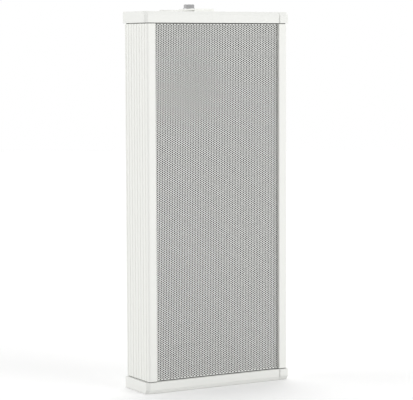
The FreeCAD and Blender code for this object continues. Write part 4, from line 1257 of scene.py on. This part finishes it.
# ---- cable gland ----
class SPEAKER_OT_gland(bpy.types.Operator):
    """Cable gland on the back: threaded body and ribbed cap"""
    bl_idname = "speaker.gland"
    bl_label = "Cable gland"

    def execute(self, context):
        lo, hi = low("cable_gland"), high("cable_gland")
        middle = (lo + hi) / 2
        self.axis = Vector((middle.x, 0, middle.z))
        self.add_body(lo, hi, high("cabinet_extrusion").y)
        self.add_cap()
        return {"FINISHED"}

    def at(self, y):
        return self.axis + BACK * y

    def hex_ring(self, length, start, name, ribs=0.0):
        """Hexagonal collar with softened corners, finely ribbed where asked."""
        half = GLAND_FLATS / 2
        inset = 0.4 * MM

        def radius(r, height, a):
            soft = min(hexagon(GLAND_FLATS, a), half * 1.12)
            return soft - (half - r) - ribs * (0.5 - 0.5 * math.cos(24 * a))
        profile = [(half - inset, 0), (half, inset), (half, length - inset), (half - inset, length)]
        return turned(profile, start, BACK, name, 96, radius)

    def add_body(self, lo, hi, flange_y):
        """Collar against the back, a thread through the wall and a stub that the cap screws onto."""
        collar, overlap = 5.0 * MM, 1.0 * MM
        thread_radius, stub_radius = 7.98 * MM, 7.48 * MM
        body = self.hex_ring(collar, self.at(flange_y), "gland_body")
        thread = self.threaded(thread_radius, lo.y, flange_y + overlap)
        stub = self.threaded(stub_radius, flange_y + collar - overlap, hi.y)
        fused(body, [thread])
        fused(body, [stub])
        carve(body, [disc(CABLE_RADIUS, self.at(lo.y - OVERCUT), BACK, hi.y - lo.y + 2 * OVERCUT)])
        settle(shade(body), "cable_gland")

    def threaded(self, radius, start, end):
        """Ridges between two places along the gland, at the thread's pitch."""
        pitch, depth = 1.5 * MM, 0.5 * MM
        count = int((end - start) / pitch * 2)
        step = (end - start) / count
        profile = [(radius - (depth if i % 2 else 0.0), i * step) for i in range(count + 1)]
        return turned(profile, self.at(start), BACK, "threaded", 48)

    def add_cap(self):
        """Ribbed hexagon that tapers to the cable in a dome."""
        collar, ribs, inner = 7.0 * MM, 0.25 * MM, 7.55 * MM
        taper = in_mm([(9.0, -0.5), (9.2, 0.0), (9.1, 1.2), (8.6, 2.8), (7.6, 4.6), (6.5, 5.7), (6.0, 6.0)])
        lo, hi = low("gland_cap"), high("gland_cap")
        cap = self.hex_ring(collar, self.at(lo.y), "gland_dome", ribs)
        fused(cap, [turned(taper, self.at(lo.y + collar), BACK, "dome", 64)])
        inside = disc(inner, self.at(lo.y - OVERCUT), BACK, collar + OVERCUT)
        bore = disc(CABLE_RADIUS, self.at(lo.y), BACK, hi.y - lo.y + OVERCUT)
        carve(cap, [inside])
        carve(cap, [bore])
        settle(shade(cap), "gland_cap")


# ---- everything that keeps its CAD shape ----
class SPEAKER_OT_inside(bpy.types.Operator):
    """Finishes for the drivers, the transformer, the crossover and the small parts inside"""
    bl_idname = "speaker.inside"
    bl_label = "Inside parts"

    def execute(self, context):
        for name, obj in frame["nodes"].items():
            finish = FINISHES[slot_of(name)]
            obj.data.materials.clear()
            obj.data.materials.append(finish)
        return {"FINISHED"}


class SPEAKER_PT_panel(bpy.types.Panel):
    """Lists every build step with its sizes and colours"""
    bl_idname = "SPEAKER_PT_panel"
    bl_label = "Column loudspeaker"
    bl_space_type = "VIEW_3D"
    bl_region_type = "UI"
    bl_category = "Loudspeaker"

    def draw(self, context):
        for group in (context.scene.speaker_sizes, context.scene.speaker_colours):
            for key in group.__annotations__:
                self.layout.prop(group, key)
        for step in STEPS:
            self.layout.operator(step.bl_idname)


STEPS = (SPEAKER_OT_studio, SPEAKER_OT_inside, SPEAKER_OT_body, SPEAKER_OT_front, SPEAKER_OT_caps,
         SPEAKER_OT_brackets, SPEAKER_OT_fasteners, SPEAKER_OT_gland)
CLASSES = (SpeakerSizes, SpeakerColours) + STEPS + (SPEAKER_PT_panel,)


def register():
    for cls in CLASSES:
        bpy.utils.register_class(cls)
    bpy.types.Scene.speaker_sizes = bpy.props.PointerProperty(type=SpeakerSizes)
    bpy.types.Scene.speaker_colours = bpy.props.PointerProperty(type=SpeakerColours)


def unregister():
    del bpy.types.Scene.speaker_colours
    del bpy.types.Scene.speaker_sizes
    for cls in reversed(CLASSES):
        bpy.utils.unregister_class(cls)


def main():
    register()
    FINISHES.update(make_finishes())
    for step in STEPS:
        group, action = step.bl_idname.split(".")
        getattr(getattr(bpy.ops, group), action)()


if __name__ == "__main__":
    main()
